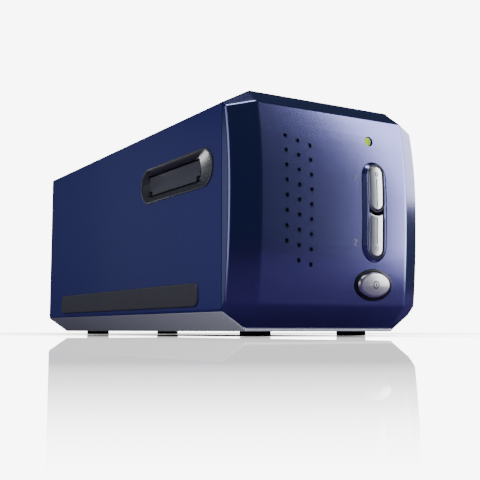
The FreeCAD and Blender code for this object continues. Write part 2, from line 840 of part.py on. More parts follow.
def base_tray():
    body = new_body("TrayBody")
    outer_half = HALF_WIDTH
    inner_half = "(%s - case_wall)" % HALF_WIDTH
    deck_half = "(%s - fit_gap)" % TRAY_HALF
    section = [(negative(TRAY_HALF), TRAY_LOW), (TRAY_HALF, TRAY_LOW),
               (outer_half, SEAM_HEIGHT), (inner_half, SEAM_HEIGHT),
               (deck_half, TRAY_DECK), (negative(deck_half), TRAY_DECK),
               (negative(inner_half), SEAM_HEIGHT), (negative(outer_half), SEAM_HEIGHT)]
    slab(body, "y", SEAM_Y, REAR_Y, polygon(section))
    wall = [(negative(TRAY_HALF), TRAY_LOW), (TRAY_HALF, TRAY_LOW),
            (outer_half, SEAM_HEIGHT), (negative(outer_half), SEAM_HEIGHT)]
    slab(body, "y", SEAM_Y, "(%s + case_wall)" % SEAM_Y, polygon(wall))
    slab(body, "y", "(%s - case_wall)" % REAR_Y, REAR_Y, polygon(wall))
    slab(body, "y", "(%s - chin_lead - tray_lip)" % SEAM_Y, "(%s + case_wall)" % SEAM_Y,
         rectangle(negative(TRAY_HALF), TRAY_HALF, TRAY_LOW, TRAY_DECK))
    bosses = [circle(x, y, "boss_radius")
              for x in ("boss_x", "(-boss_x)") for y in ("boss_front_y", "boss_rear_y")]
    slab(body, "z", TRAY_LOW, "chassis_low", *bosses)
    holes = [circle(x, y, "(screw_radius + fit_gap)")
             for x in ("boss_x", "(-boss_x)") for y in ("boss_front_y", "boss_rear_y")]
    cut_slab(body, "z", "(%s - overrun)" % TRAY_LOW, "(chassis_low + overrun)", *holes)
    heads = [circle(x, y, "(screw_head_radius + fit_gap)")
             for x in ("boss_x", "(-boss_x)") for y in ("boss_front_y", "boss_rear_y")]
    cut_slab(body, "z", "(%s - overrun)" % TRAY_LOW,
             "(%s + screw_recess + screw_head_height)" % TRAY_LOW, *heads)
    sockets = [circle(x, y, "(foot_spigot_radius + fit_gap)") for x, y in foot_places()]
    cut_slab(body, "z", "(%s - overrun)" % TRAY_LOW, "(%s + overrun)" % TRAY_DECK, *sockets)
    node(body, "base_tray")


def foot_places():
    front = "(%s + front_foot_setback)" % FRONT_Y
    rear = "(%s - rear_foot_setback)" % REAR_Y
    return [("(-front_foot_spread)", front), ("front_foot_spread", front),
            ("(-rear_foot_spread)", rear), ("rear_foot_spread", rear)]


def rubber_feet():
    feet = []
    for x, y in foot_places():
        pad = cylinder("FootPad", "z", "foot_radius", "0", TRAY_LOW, x, y)
        spigot = cylinder("FootSpigot", "z", "foot_spigot_radius", "0", TRAY_DECK, x, y)
        feet.append(union("Foot", pad, spigot))
    node(group("Feet", *feet), "rubber_feet")


def case_screws():
    screws = []
    for x in ("boss_x", "(-boss_x)"):
        for y in ("boss_front_y", "boss_rear_y"):
            head_low = "(%s + screw_recess)" % TRAY_LOW
            head = cylinder("ScrewHead", "z", "screw_head_radius", head_low,
                            "(%s + screw_head_height)" % head_low, x, y)
            shank = cylinder("ScrewShank", "z", "screw_radius", head_low,
                             "(%s + screw_length)" % head_low, x, y)
            screws.append(union("CaseScrew", head, shank))
    node(group("CaseScrews", *screws), "case_screws")


def side_strip(side, label):
    body = new_body(label.title().replace("_", ""))
    low, high = across(side, "(%s - strip_seat)" % HALF_WIDTH, "(%s + strip_proud)" % HALF_WIDTH)
    slab(body, "x", low, high, strip_outline("0"))
    face = side * value("%s + strip_proud" % HALF_WIDTH)
    slack = value("near_enough")
    fillet(body, "strip_round", lambda edge: abs(edge.BoundBox.XMin - face) < slack
           and abs(edge.BoundBox.XMax - face) < slack)
    node(body, label)


def slot_bezel(side, label):
    body = new_body(label.title().replace("_", ""))
    inner = "(%s + slot_proud - slot_depth)" % HALF_WIDTH
    outer = "(%s + slot_proud)" % HALF_WIDTH
    slab(body, "x", *across(side, inner, outer), slot_outline("0"))
    scoop_floor = "(%s - scoop_depth)" % HALF_WIDTH
    reach = "((%s - %s) / 2)" % (TUNNEL_HIGH, TUNNEL_LOW)
    middle = "((%s + %s) / 2)" % (TUNNEL_HIGH, TUNNEL_LOW)
    mouth = sketch_on(body, "x", outer if side > 0 else negative(outer),
                      [slot_outline("-slot_rim")])
    floor = sketch_on(body, "x", scoop_floor if side > 0 else negative(scoop_floor),
                      [oblong("(%s - door_side_gap + %s)" % (DOOR_FRONT_Y, reach), middle,
                              "(%s + door_side_gap - %s)" % (DOOR_REAR_Y, reach), middle,
                              reach)])
    scoop = body.newObject("PartDesign::SubtractiveLoft", body.Name + "_scoop")
    scoop.Profile = mouth
    scoop.Sections = [floor]
    scoop.Ruled = True
    doc.recompute()
    tunnel = rectangle("(%s - door_side_gap)" % DOOR_FRONT_Y, "(%s + door_side_gap)" % DOOR_REAR_Y,
                       TUNNEL_LOW, TUNNEL_HIGH)
    cut_slab(body, "x", *across(side, "(%s - overrun)" % inner, "(%s + overrun)" % outer), tunnel)
    pin_x = "(%s - door_depth - door_thickness / 2)" % HALF_WIDTH
    pin_x = pin_x if side > 0 else negative(pin_x)
    cut_slab(body, "y", "(%s - hinge_reach - loose_gap)" % DOOR_FRONT_Y,
             "(%s + hinge_reach + loose_gap)" % DOOR_REAR_Y,
             circle(pin_x, HINGE_HEIGHT, "(hinge_radius + running_gap)"))
    node(body, label)


def dust_door(side, label):
    """A flap with a notch at each lower corner, where its hinge pin shows."""
    body = new_body(label.title().replace("_", ""))
    near = "(%s - door_depth - door_thickness)" % HALF_WIDTH
    far = "(%s - door_depth)" % HALF_WIDTH
    ear = "(door_low + door_ear_height)"
    outline = [("(%s + door_ear_length)" % DOOR_FRONT_Y, "door_low"),
               ("(%s - door_ear_length)" % DOOR_REAR_Y, "door_low"),
               ("(%s - door_ear_length)" % DOOR_REAR_Y, ear), (DOOR_REAR_Y, ear),
               (DOOR_REAR_Y, "door_high"), (DOOR_FRONT_Y, "door_high"),
               (DOOR_FRONT_Y, ear), ("(%s + door_ear_length)" % DOOR_FRONT_Y, ear)]
    slab(body, "x", *across(side, near, far), polygon(outline))
    pin_x = "((%s + %s) / 2)" % (near, far)
    pin_x = pin_x if side > 0 else negative(pin_x)
    slab(body, "y", "(%s - hinge_reach)" % DOOR_FRONT_Y, "(%s + hinge_reach)" % DOOR_REAR_Y,
         circle(pin_x, HINGE_HEIGHT, "hinge_radius"))
    node(body, label)


def door_springs(side, label):
    """The two small coils round the hinge pin, in the notches of the door."""
    coils = []
    pin_x = "(%s - door_depth - door_thickness / 2)" % HALF_WIDTH
    pin_x = pin_x if side > 0 else negative(pin_x)
    slack = "((door_ear_length - door_spring_length) / 2)"
    for low in ("(%s + %s)" % (DOOR_FRONT_Y, slack),
                "(%s - %s - door_spring_length)" % (DOOR_REAR_Y, slack)):
        high = "(%s + door_spring_length)" % low
        outside = cylinder("CoilOutside", "y", "door_spring_outer", low, high, pin_x, HINGE_HEIGHT)
        bore = cylinder("CoilBore", "y", "door_spring_bore", "(%s - overrun)" % low,
                        "(%s + overrun)" % high, pin_x, HINGE_HEIGHT)
        coils.append(minus("Coil", outside, bore))
    node(group(label.title().replace("_", ""), *coils), label)


def rear_panel():
    body = new_body("RearPanelBody")
    inset = "(case_wall + fit_gap)"
    low = "(%s + fit_gap)" % SEAM_HEIGHT
    slab(body, "y", PANEL_FRONT_Y, PANEL_REAR_Y, polygon(case_corners(inset, low)))
    usb = rectangle("(usb_x - usb_width / 2 - panel_hole_gap)",
                    "(usb_x + usb_width / 2 + panel_hole_gap)",
                    "(%s - panel_hole_gap)" % MAIN_BOARD_TOP,
                    "(%s + usb_height + panel_hole_gap)" % MAIN_BOARD_TOP)
    jack = circle("jack_x", "(%s + jack_height / 2)" % MAIN_BOARD_TOP,
                  "(jack_bore + panel_hole_gap)")
    reach = ("(%s - overrun)" % PANEL_FRONT_Y, "(%s + overrun)" % PANEL_REAR_Y)
    cut_slab(body, "y", *reach, usb, jack)
    vents = []
    for x in row_places("vent_count", "vent_pitch"):
        vents.append(oblong(x, "(vent_low + vent_width / 2)", x, "(vent_high - vent_width / 2)",
                            "(vent_width / 2)"))
    cut_slab(body, "y", *reach, *vents)
    node(body, "rear_panel")


# Front fascia and its controls

def front_at(proud, height):
    """The Y of the curved front, moved out by proud, at a height."""
    radius = "lower_face_radius" if value(height) < value("bulge_height") else "upper_face_radius"
    return "(%s + %s - sqrt((%s + (%s)) ^ 2 - (%s - bulge_height) ^ 2))" % (
        FACE_Y, radius, radius, proud, height)


def front_curve(proud, low, high):
    """The corners of the curved front from a low to a high place, ready for an outline."""
    corners = [(front_at(proud, low), low, "(lower_face_radius + (%s))" % proud, 1),
               ("(%s - (%s))" % (FACE_Y, proud), "bulge_height",
                "(upper_face_radius + (%s))" % proud, 1),
               (front_at(proud, high), high)]
    if value(low) >= value("bulge_height"):
        corners = [(front_at(proud, low), low, "(upper_face_radius + (%s))" % proud, 1),
                   corners[2]]
    elif value(high) <= value("bulge_height"):
        corners = [corners[0], (front_at(proud, high), high)]
    return corners


def in_front(proud, low, high):
    """Everything in front of the curved front, moved out by proud."""
    far = "(%s - overrun)" % FRONT_Y
    return polygon([(far, low)] + front_curve(proud, low, high) + [(far, high)])


def corner_cut(run, drop, top):
    """What lies outside a cut corner of the case, on the right side."""
    if top:
        return [(HALF_WIDTH, "(%s - %s)" % (TOP, drop)),
                ("(%s + overrun)" % HALF_WIDTH, "(%s - %s)" % (TOP, drop)),
                ("(%s + overrun)" % HALF_WIDTH, "(%s + overrun)" % TOP),
                ("(%s - %s)" % (HALF_WIDTH, run), "(%s + overrun)" % TOP),
                ("(%s - %s)" % (HALF_WIDTH, run), TOP)]
    return [(HALF_WIDTH, SEAM_HEIGHT), ("(%s - %s)" % (HALF_WIDTH, run), TRAY_LOW),
            ("(%s - %s)" % (HALF_WIDTH, run), "(%s - overrun)" % TRAY_LOW),
            ("(%s + overrun)" % HALF_WIDTH, "(%s - overrun)" % TRAY_LOW),
            ("(%s + overrun)" % HALF_WIDTH, SEAM_HEIGHT)]


def moved(corners, inset, down):
    """The same corners moved in towards the middle and up or down by the inset."""
    sign = "-" if down else "+"
    return [("(%s - %s)" % (u, inset), "(%s %s %s)" % (v, sign, inset)) for u, v in corners]


def mirrored(corners):
    return [(negative(u), v) for u, v in reversed(corners)]


def bevel_cutter(name, side, inset):
    """What lies in front of one slanted side bevel: a curved face swept along the slope."""
    sketch = doc.addObject("Sketcher::SketchObject", name + "_outline")
    sketch.Placement = FreeCAD.Placement(FreeCAD.Vector(0, 0, 0),
                                         FreeCAD.Rotation(FreeCAD.Vector(1, 1, 1), 120))
    wall_x = "(%s - %s)" % (HALF_WIDTH, inset)
    bind(sketch, "Placement.Base.x", wall_x if side > 0 else negative(wall_x))
    back = "(-bevel_depth - %s * hollow_edge_share)" % inset
    far = "(%s - bulge_depth)" % FRONT_Y
    low = "(-overrun)"
    high = "(%s + overrun)" % TOP
    polygon([(far, low)] + front_curve_at(back, low, high) + [(far, high)])(sketch)
    cutter = doc.addObject("Part::Extrusion", name)
    cutter.Base = sketch
    cutter.DirMode = "Custom"
    cutter.Solid = True
    bind(cutter, "Dir.x", "-bevel_width" if side > 0 else "bevel_width")
    bind(cutter, "Dir.y", "-bevel_depth")
    bind(cutter, "Dir.z", "0")
    bind(cutter, "LengthFwd", "bevel_width + bevel_depth")
    return cutter


def front_curve_at(back, low, high):
    """The curved front moved back as a whole, keeping both radii."""
    shift = "(%s)" % back
    corners = front_curve("0", low, high)
    return [("(%s - %s)" % (c[0], shift),) + tuple(c[1:]) for c in corners]


def facet_cutter(name, spots, inset):
    """What lies outside the plane through three places, moved in by the inset."""
    first, second, third = [FreeCAD.Vector(*[value(part) for part in spot]) for spot in spots]
    across_face = second.sub(first).cross(third.sub(first)).normalize()
    if across_face.y > 0:
        across_face = across_face.negative()
    reach = value("overall_height")
    centre = first.add(second).add(third).multiply(1 / 3)
    centre = centre.sub(across_face * value(inset))
    plane = Part.makePlane(reach, reach)
    plane.translate(FreeCAD.Vector(-reach / 2, -reach / 2, 0))
    plane.Placement = FreeCAD.Placement(
        centre, FreeCAD.Rotation(FreeCAD.Vector(0, 0, 1), across_face)).multiply(plane.Placement)
    item = doc.addObject("Part::Feature", name)
    item.Shape = plane.extrude(across_face * reach)
    return item


def gem(name, inset, back):
    """The faceted front: a curved face, side bevels, a brow, a chin and four corner facets."""
    body = new_body(name + "Body")
    low = "(%s + %s)" % (TRAY_DECK, inset)
    top = "(%s - %s)" % (TOP, inset)
    chin = "(chin_height + %s * hollow_crease_share)" % inset
    crown = "(%s - %s * hollow_crease_share)" % (CROWN_HEIGHT, inset)
    crown_y = "(%s - crown_lead + %s * hollow_crease_share)" % (SEAM_Y, inset)
    chin_y = "(%s - chin_lead + %s * hollow_crease_share)" % (SEAM_Y, inset)
    profile = [(back, low), (chin_y, low)] + front_curve(negative(inset), chin, crown)
    profile += [(crown_y, top), (back, top)]
    half = "(%s - %s)" % (HALF_WIDTH, inset)
    slab(body, "x", negative(half), half, polygon(profile))
    upper = moved(corner_cut("top_corner_run", "top_corner_drop", True), inset, True)
    lower = moved(corner_cut("tray_slope_run", "tray_height", False), inset, False)
    reach = ("(%s - overrun)" % FRONT_Y, "(%s + overrun)" % back)
    cut_slab(body, "y", *reach, polygon(upper), polygon(mirrored(upper)), polygon(lower),
             polygon(mirrored(lower)))
    tools = []
    crown_face_y = front_at("0", CROWN_HEIGHT)
    chin_face_y = front_at("0", "chin_height")
    cheek_y = "(%s + bevel_depth)" % front_at("0", "cheek_height")
    for side in (-1, 1):
        mark = "L" if side < 0 else "R"
        tools.append(bevel_cutter(name + "Bevel" + mark, side, inset))
        half_x, inner_x, top_x, foot_x = [
            "(%d * %s)" % (side, word) for word in
            (HALF_WIDTH, "(%s - bevel_width)" % HALF_WIDTH, TOP_HALF, TRAY_HALF)]
        tools.append(facet_cutter(name + "Temple" + mark, [
            (half_x, SEAM_Y, WALL_TOP), (top_x, "(%s - crown_lead)" % SEAM_Y, TOP),
            (inner_x, crown_face_y, CROWN_HEIGHT)], inset))
        tools.append(facet_cutter(name + "Cheek" + mark, [
            (half_x, cheek_y, "cheek_height"), (foot_x, "(%s - chin_lead)" % SEAM_Y, TRAY_DECK),
            (inner_x, chin_face_y, "chin_height")], inset))
    return minus(name, body, *tools)


def oval(u, v, width, rise):
    """An oval of four arcs, with rounder ends than sides."""
    a = "(%s / 2)" % width
    b = "(%s / 2)" % rise
    end = "(%s * oval_end_share)" % b
    long_radius = "(((%s - %s) ^ 2 + %s ^ 2 - %s ^ 2) / (2 * (%s - %s)))" % (a, end, b, end, b, end)
    join_u = "(%s * (%s - %s) / (%s - %s))" % (long_radius, a, end, long_radius, end)
    join_v = "((%s - %s) * %s / (%s - %s))" % (long_radius, b, end, long_radius, end)
    left, right = "(%s - %s)" % (u, join_u), "(%s + %s)" % (u, join_u)
    low, high = "(%s - %s)" % (v, join_v), "(%s + %s)" % (v, join_v)
    return polygon([(right, low, end, -1), (right, high, long_radius, -1),
                    (left, high, end, -1), (left, low, long_radius, -1)])


def plinth_outline(growth):
    radius = "(plinth_width / 2 + (%s))" % growth
    return oblong("control_x", "(plinth_low + plinth_width / 2)", "control_x",
                  "(plinth_high - plinth_width / 2)", radius)


def upper_button_outline(growth):
    return oblong("control_x", "(upper_button_low + button_width / 2)", "control_x",
                  "(upper_button_high - button_width / 2)",
                  "(button_width / 2 + (%s))" % growth)


def lower_button_outline(growth, hollow="(button_width / 2 + button_joint_gap)"):
    """A round foot, straight sides and a hollow top round the upper button's end."""
    half = "(button_width / 2 + (%s))" % growth
    left, right = "(control_x - %s)" % half, "(control_x + %s)" % half
    hip = "(lower_button_low + button_width / 2)"
    foot = "(%s - %s)" % (hip, half)
    shoulder = "(upper_button_low + button_width / 2 - sqrt(%s ^ 2 - %s ^ 2))" % (hollow, half)
    return polygon([(left, hip, half, -1), ("control_x", foot, half, -1), (right, hip),
                    (right, shoulder, hollow, 1), (left, shoulder)])


def dimples():
    """Round-bottomed dimples in three staggered columns, set on the curved front."""
    ball = "((dimple_radius ^ 2 + dimple_depth ^ 2) / (2 * dimple_depth))"
    balls = []
    for column, count in enumerate(("dimple_outer_rows", "dimple_rows", "dimple_rows")):
        for row in range(int(value(count))):
            height = "(dimple_top_height - %d * dimple_stagger - %d * dimple_pitch)" % (column,
                                                                                       row)
            item = doc.addObject("Part::Sphere", "Dimple")
            bind(item, "Radius", ball)
            bind(item, "Placement.Base.x", "-dimple_first_x + %d * dimple_column_gap" % column)
            bind(item, "Placement.Base.y",
                 "%s + dimple_depth - %s" % (front_at("0", height), ball))
            bind(item, "Placement.Base.z", height)
            balls.append(item)
    return balls


def front_post_places():
    inset = "(front_board_half_width - front_post_inset)"
    return [(x, z) for x in ("(control_x - %s)" % inset, "(control_x + %s)" % inset)
            for z in ("(front_board_low + front_post_inset)",
                      "(front_board_high - front_post_inset)")]


def front_fascia():
    outside = gem("Fascia", "0", SEAM_Y)
    hollow = gem("FasciaHollow", "fascia_wall", "(%s + overrun)" % SEAM_Y)
    core = gem("FasciaCore", "(fascia_wall / 2)", "(%s + overrun)" % SEAM_Y)
    posts = [cylinder("FrontPost", "y", "front_post_radius", "(%s - overrun)" % FRONT_Y,
                      BOARD_FRONT_Y, x, z) for x, z in front_post_places()]
    trimmed = doc.addObject("Part::Common", "FrontPosts")
    trimmed.Base = union("FrontPostRods", *posts)
    trimmed.Tool = core
    bores = [cylinder("FrontPostBore", "y", "(screw_radius + running_gap)",
                      "(%s - board_screw_length)" % BOARD_FRONT_Y, "(%s + overrun)" % BOARD_FRONT_Y,
                      x, z) for x, z in front_post_places()]
    ring = new_body("SpigotBody")
    inset = "(case_wall + fit_gap)"
    low = "(%s + fit_gap)" % SEAM_HEIGHT
    slab(ring, "y", "(%s - spigot_root)" % SEAM_Y, "(%s + spigot_length)" % SEAM_Y,
         polygon(case_corners(inset, low)))
    cut_slab(ring, "y", "(%s - overrun)" % SEAM_Y, "(%s + overrun + spigot_length)" % SEAM_Y,
             polygon(case_corners("(%s + spigot_wall)" % inset, "(%s + spigot_wall)" % low)))
    shell = minus("FasciaShell", outside, hollow)
    whole = union("FasciaWhole", shell, trimmed, ring)
    openings = new_body("OpeningsBody")
    front = "(%s - overrun)" % FRONT_Y
    slab(openings, "y", front, "(%s + plinth_depth + overrun)" % FACE_Y,
         plinth_outline("plinth_groove"))
    power = new_body("PowerOpeningBody")
    slab(power, "y", front, "(%s + power_ring_depth + overrun)" % FACE_Y,
         oval("control_x", "power_height", "(power_ring_width + 2 * fit_gap)",
              "(power_ring_rise + 2 * fit_gap)"))
    lens = cylinder("LensOpening", "y", "(led_lens_radius + fit_gap)", front,
                    "(%s + led_lens_length)" % FACE_Y, "led_x", "led_height")
    well = cylinder("LensWell", "y", "led_well_radius", front,
                    "%s + led_well_depth" % front_at("0", "led_height"), "led_x", "led_height")
    node(minus("FasciaFinished", whole, openings, power, lens, well, *bores, *dimples()),
         "front_fascia")


def at_front(limit):
    """Accepts the edges that lie wholly in front of a place."""
    place = value(limit)
    return lambda edge: edge.BoundBox.YMax < place


def chamfer(body, size, wanted):
    """Slopes those edges of the body's newest feature that the test accepts."""
    base = body.Tip
    names = ["Edge%d" % (i + 1) for i, edge in enumerate(base.Shape.Edges) if wanted(edge)]
    feature = body.newObject("PartDesign::Chamfer", body.Name + "_slope")
    feature.Base = (base, names)
    bind(feature, "Size", size)
    doc.recompute()
    return feature


def button_plinth():
    """A raised oblong with sloped sides round both scan buttons, and a thin web between them."""
    body = new_body("PlinthBody")
    back = "(%s + plinth_depth)" % FACE_Y
    slab(body, "y", FRONT_Y, back, plinth_outline("0"))
    cut_slab(body, "x", "(control_x - plinth_width)", "(control_x + plinth_width)",
             in_front("plinth_proud", "(plinth_low - overrun)", "(plinth_high + overrun)"))
    chamfer(body, "plinth_slope", at_front("%s + plinth_proud" % FACE_Y))
    slab(body, "y", "(%s - flange_thickness)" % back, back, plinth_outline("flange_growth"))
    reach = ("(%s - overrun)" % FRONT_Y, "(%s + overrun)" % back)
    cut_slab(body, "y", *reach, upper_button_outline("button_gap"))
    cut_slab(body, "y", *reach, lower_button_outline("button_gap",
                                                     "(button_width / 2 + button_gap + button_web)"))
    node(body, "button_plinth")


def scan_button(label, outline, groove_low, groove_high, flange_low, flange_high):
    """A long cap with a fine groove down its middle, a retaining flange and a stem."""
    body = new_body(label.title().replace("_", ""))
    flange_front = "(%s + plinth_depth + button_flange_gap)" % FACE_Y
    flange_back = "(%s + button_flange_thickness)" % flange_front
    slab(body, "y", FRONT_Y, flange_back, outline("0"))
    cut_slab(body, "x", "(control_x - button_width)", "(control_x + button_width)",
             in_front("button_proud", "(plinth_low - overrun)", "(plinth_high + overrun)"))
    fillet(body, "button_edge", at_front("%s + button_proud" % FACE_Y))
    cut_slab(body, "x", "(control_x - button_groove_width / 2)",
             "(control_x + button_groove_width / 2)",
             in_front("(button_proud - button_groove_depth)", groove_low, groove_high))
    reach = "(button_width / 2 + button_flange)"
    slab(body, "y", flange_front, flange_back,
         rectangle("(control_x - %s)" % reach, "(control_x + %s)" % reach, flange_low, flange_high))
    slab(body, "y", flange_front, STEM_END_Y,
         circle("control_x", "((%s + %s) / 2)" % (flange_low, flange_high), "stem_radius"))
    node(body, label)


def power_button():
    body = new_body("PowerButtonBody")
    flange_front = "(%s + power_ring_depth + button_flange_gap)" % FACE_Y
    flange_back = "(%s + button_flange_thickness)" % flange_front
    slab(body, "y", FRONT_Y, flange_back,
         oval("control_x", "power_height", "power_cap_width", "power_cap_rise"))
    low, high = "(power_height - power_cap_rise)", "(power_height + power_cap_rise)"
    cut_slab(body, "x", "(control_x - power_cap_width)", "(control_x + power_cap_width)",
             in_front("power_proud", low, high))
    fillet(body, "power_edge", at_front("%s + power_proud" % front_at("0", "power_height")))
    slab(body, "y", flange_front, flange_back,
         oval("control_x", "power_height", "(power_cap_width + 2 * button_flange)",
              "(power_cap_rise + 2 * button_flange)"))
    slab(body, "y", flange_front, STEM_END_Y, circle("control_x", "power_height", "stem_radius"))
    node(body, "power_button")


def power_ring():
    body = new_body("PowerRingBody")
    back = "(%s + power_ring_depth)" % FACE_Y
    slab(body, "y", FRONT_Y, back,
         oval("control_x", "power_height", "power_ring_width", "power_ring_rise"))
    low, high = "(power_height - power_ring_rise)", "(power_height + power_ring_rise)"
    cut_slab(body, "x", "(control_x - power_ring_width)", "(control_x + power_ring_width)",
             in_front("power_ring_proud", low, high))
    fillet(body, "power_ring_edge", at_front("%s + power_ring_proud + power_ring_edge"
                                             % front_at("0", "power_height")))
    slab(body, "y", "(%s - flange_thickness)" % back, back,
         oval("control_x", "power_height", "(power_ring_width + 2 * flange_growth)",
              "(power_ring_rise + 2 * flange_growth)"))
    cut_slab(body, "y", "(%s - overrun)" % FRONT_Y, "(%s + overrun)" % back,
             oval("control_x", "power_height", "(power_cap_width + 2 * button_gap)",
                  "(power_cap_rise + 2 * button_gap)"))
    node(body, "power_ring")


def status_light():
    face = front_at("0", "led_height")
    body = new_body("LensBody")
    front = "(%s + led_lens_recess)" % face
    slab(body, "y", front, "(%s + led_lens_length)" % front,
         circle("led_x", "led_height", "led_lens_radius"))
    fillet(body, "led_lens_round", at_front("%s + led_lens_recess" % front))
    node(body, "status_lens")
    lamp = cylinder("StatusLamp", "y", "led_body_radius", "(%s + led_lens_length + fit_gap)" % front,
                    BOARD_FRONT_Y, "led_x", "led_height")
    node(lamp, "status_led")


def button_heights():
    """The height of each switch, by the name of its button."""
    upper_low = "(upper_button_low + button_width / 2)"
    upper_high = "(upper_button_high - button_width / 2)"
    lower_low = "(lower_button_low + button_width / 2)"
    lower_high = "(upper_button_low - button_joint_gap - button_flange)"
    return {"upper": (upper_low, upper_high), "lower": (lower_low, lower_high),
            "power": ("(power_height)", "(power_height)")}


def front_board():
    reach = "front_board_half_width"
    plate = box("FrontBoard", "(control_x - %s)" % reach, "(control_x + %s)" % reach,
                BOARD_FRONT_Y, BOARD_BACK_Y, "front_board_low", "front_board_high")
    holes = [cylinder("FrontBoardHole", "y", "(screw_radius + fit_gap)",
                      "(%s - overrun)" % BOARD_FRONT_Y, "(%s + overrun)" % BOARD_BACK_Y, x, z)
             for x, z in front_post_places()]
    node(minus("FrontBoardDrilled", plate, *holes), "front_board")
    switches = []
    for word, (low, high) in button_heights().items():
        z = "((%s + %s) / 2)" % (low, high)
        half = "(switch_size / 2)"
        case = box("SwitchCase", "(control_x - %s)" % half, "(control_x + %s)" % half,
                   SWITCH_FRONT_Y, BOARD_FRONT_Y, "(%s - %s)" % (z, half), "(%s + %s)" % (z, half))
        bore = cylinder("SwitchBore", "y", "(plunger_radius + running_gap)",
                        "(%s - overrun)" % SWITCH_FRONT_Y,
                        "(%s + plunger_bore_depth)" % SWITCH_FRONT_Y, "control_x", z)
        switches.append(minus("Switch", case, bore))
        start = "(%s - plunger_proud)" % SWITCH_FRONT_Y
        node(cylinder("Plunger", "y", "plunger_radius", start, "(%s + plunger_length)" % start,
                      "control_x", z), word + "_switch_plunger")
    node(group("Switches", *switches), "button_switches")


# Chassis, rods and film guides

BOARD_POSTS = [("(main_board_left_x + board_post_inset)",
                "(main_board_front_y + board_post_inset)"),
               ("(main_board_wing_x - board_post_inset)", "(main_board_wing_y - board_post_inset)"),
               ("(main_board_left_x + board_post_inset)", "board_post_rear_y"),
               ("(main_board_right_x - board_post_inset)", "board_post_rear_y")]
GUIDE_FRONT_Y = "(film_gate_y - channel_half_depth - channel_rail)"
GUIDE_REAR_Y = "(film_gate_y + channel_half_depth + channel_rail)"
GUIDE_LOW = "(channel_floor - guide_thickness)"
CARRIAGE_FLOOR = "(carriage_low + carriage_wall)"
LAMP_CEILING = "(lamp_arm_high - carriage_wall)"


def upright_outline(bay_left, bay_right, bay_high):
    """A wall across the chassis with an opening at its foot."""
    return polygon([("upright_left_x", DECK), (bay_left, DECK), (bay_left, bay_high),
                    (bay_right, bay_high), (bay_right, DECK), ("upright_right_x", DECK),
                    ("upright_right_x", "upright_height"), ("upright_left_x", "upright_height")])


def chassis():
    body = new_body("ChassisBody")
    slab(body, "z", "chassis_low", DECK,
         rectangle("-chassis_half_width", "chassis_half_width", "chassis_front_y",
                   "chassis_rear_y"))
    slab(body, "y", "chassis_front_y", "(chassis_front_y + upright_thickness)",
         upright_outline("ribbon_bay_left_x", "ribbon_bay_right_x", "ribbon_bay_height"))
    slab(body, "y", "rear_upright_y", "(rear_upright_y + upright_thickness)",
         upright_outline("board_bay_left_x", "board_bay_right_x", "board_bay_height"))
    near, far = "(side_plate_x)", "(side_plate_x + side_plate_thickness)"
    for low, high in ((near, far), (negative(far), negative(near))):
        slab(body, "x", low, high, rectangle(GUIDE_FRONT_Y, GUIDE_REAR_Y, DECK, GUIDE_LOW))
        cut_slab(body, "x", low, high, rounded_rectangle(
            "(%s + side_plate_inset)" % GUIDE_FRONT_Y, "(%s - side_plate_inset)" % GUIDE_REAR_Y,
            "(%s + side_plate_inset)" % DECK, "(%s - side_plate_inset)" % GUIDE_LOW,
            "side_plate_corner"))
    slab(body, "z", DECK, "upright_height",
         rectangle("(belt_x - idler_block_half)", "(belt_x + idler_block_half)",
                   "(idler_pulley_y - idler_block_half)", "(idler_pulley_y + idler_block_half)"))
    slab(body, "z", DECK, "main_board_low",
         *[circle(x, y, "board_post_radius") for x, y in BOARD_POSTS])
    cut_slab(body, "y", "chassis_front_y", "(rear_upright_y + upright_thickness)",
             *[circle(x, "rod_height", "(rod_radius + running_gap)") for x in ("-rod_x", "rod_x")])
    cut_slab(body, "z", "(main_board_low - board_screw_length)", "main_board_low",
             *[circle(x, y, "(screw_radius + running_gap)") for x, y in BOARD_POSTS])
    cut_slab(body, "z", "chassis_low", DECK,
             *[circle(x, y, "(screw_radius + running_gap)") for x in ("-boss_x", "boss_x")
               for y in ("boss_front_y", "boss_rear_y")])
    cut_slab(body, "z", "(upright_height - idler_block_half)", "upright_height",
             circle("belt_x", "idler_pulley_y", "(axle_radius + running_gap)"))
    node(body, "chassis")


def rods():
    back = "(rear_upright_y + upright_thickness)"
    bars = [cylinder("GuideRod", "y", "rod_radius", "chassis_front_y", back, x, "rod_height")
            for x in ("-rod_x", "rod_x")]
    node(group("GuideRods", *bars), "guide_rods")
    clips = []
    for x in ("-rod_x", "rod_x"):
        for low, high in (("(chassis_front_y - rod_clip_thickness)", "chassis_front_y"),
                          (back, "(%s + rod_clip_thickness)" % back)):
            clips.append(box("RodClip", "%s - rod_clip_reach" % x, "%s + rod_clip_reach" % x,
                             low, high, "rod_height - rod_clip_reach",
                             "rod_height + rod_clip_reach"))
    node(group("RodClips", *clips), "rod_clips")


def film_guides():
    lower = new_body("LowerGuideBody")
    half = "channel_half_width"
    slab(lower, "z", GUIDE_LOW, "channel_floor",
         rectangle("-" + half, half, GUIDE_FRONT_Y, GUIDE_REAR_Y))
    for low, high in ((GUIDE_FRONT_Y, "(%s + channel_rail)" % GUIDE_FRONT_Y),
                      ("(%s - channel_rail)" % GUIDE_REAR_Y, GUIDE_REAR_Y)):
        slab(lower, "z", "channel_floor", "channel_roof", rectangle("-" + half, half, low, high))
    upper = new_body("UpperGuideBody")
    roof = "(channel_roof + guide_thickness)"
    slab(upper, "z", "channel_roof", roof,
         rectangle("-" + half, half, GUIDE_FRONT_Y, GUIDE_REAR_Y))
    for body, low, high in ((lower, GUIDE_LOW, "channel_floor"), (upper, "channel_roof", roof)):
        cut_slab(body, "z", low, high,
                 rectangle("-film_gate_half_width", "film_gate_half_width",
                           "film_gate_y - film_gate_half", "film_gate_y + film_gate_half"))
    node(lower, "lower_film_guide")
    node(upper, "upper_film_guide")


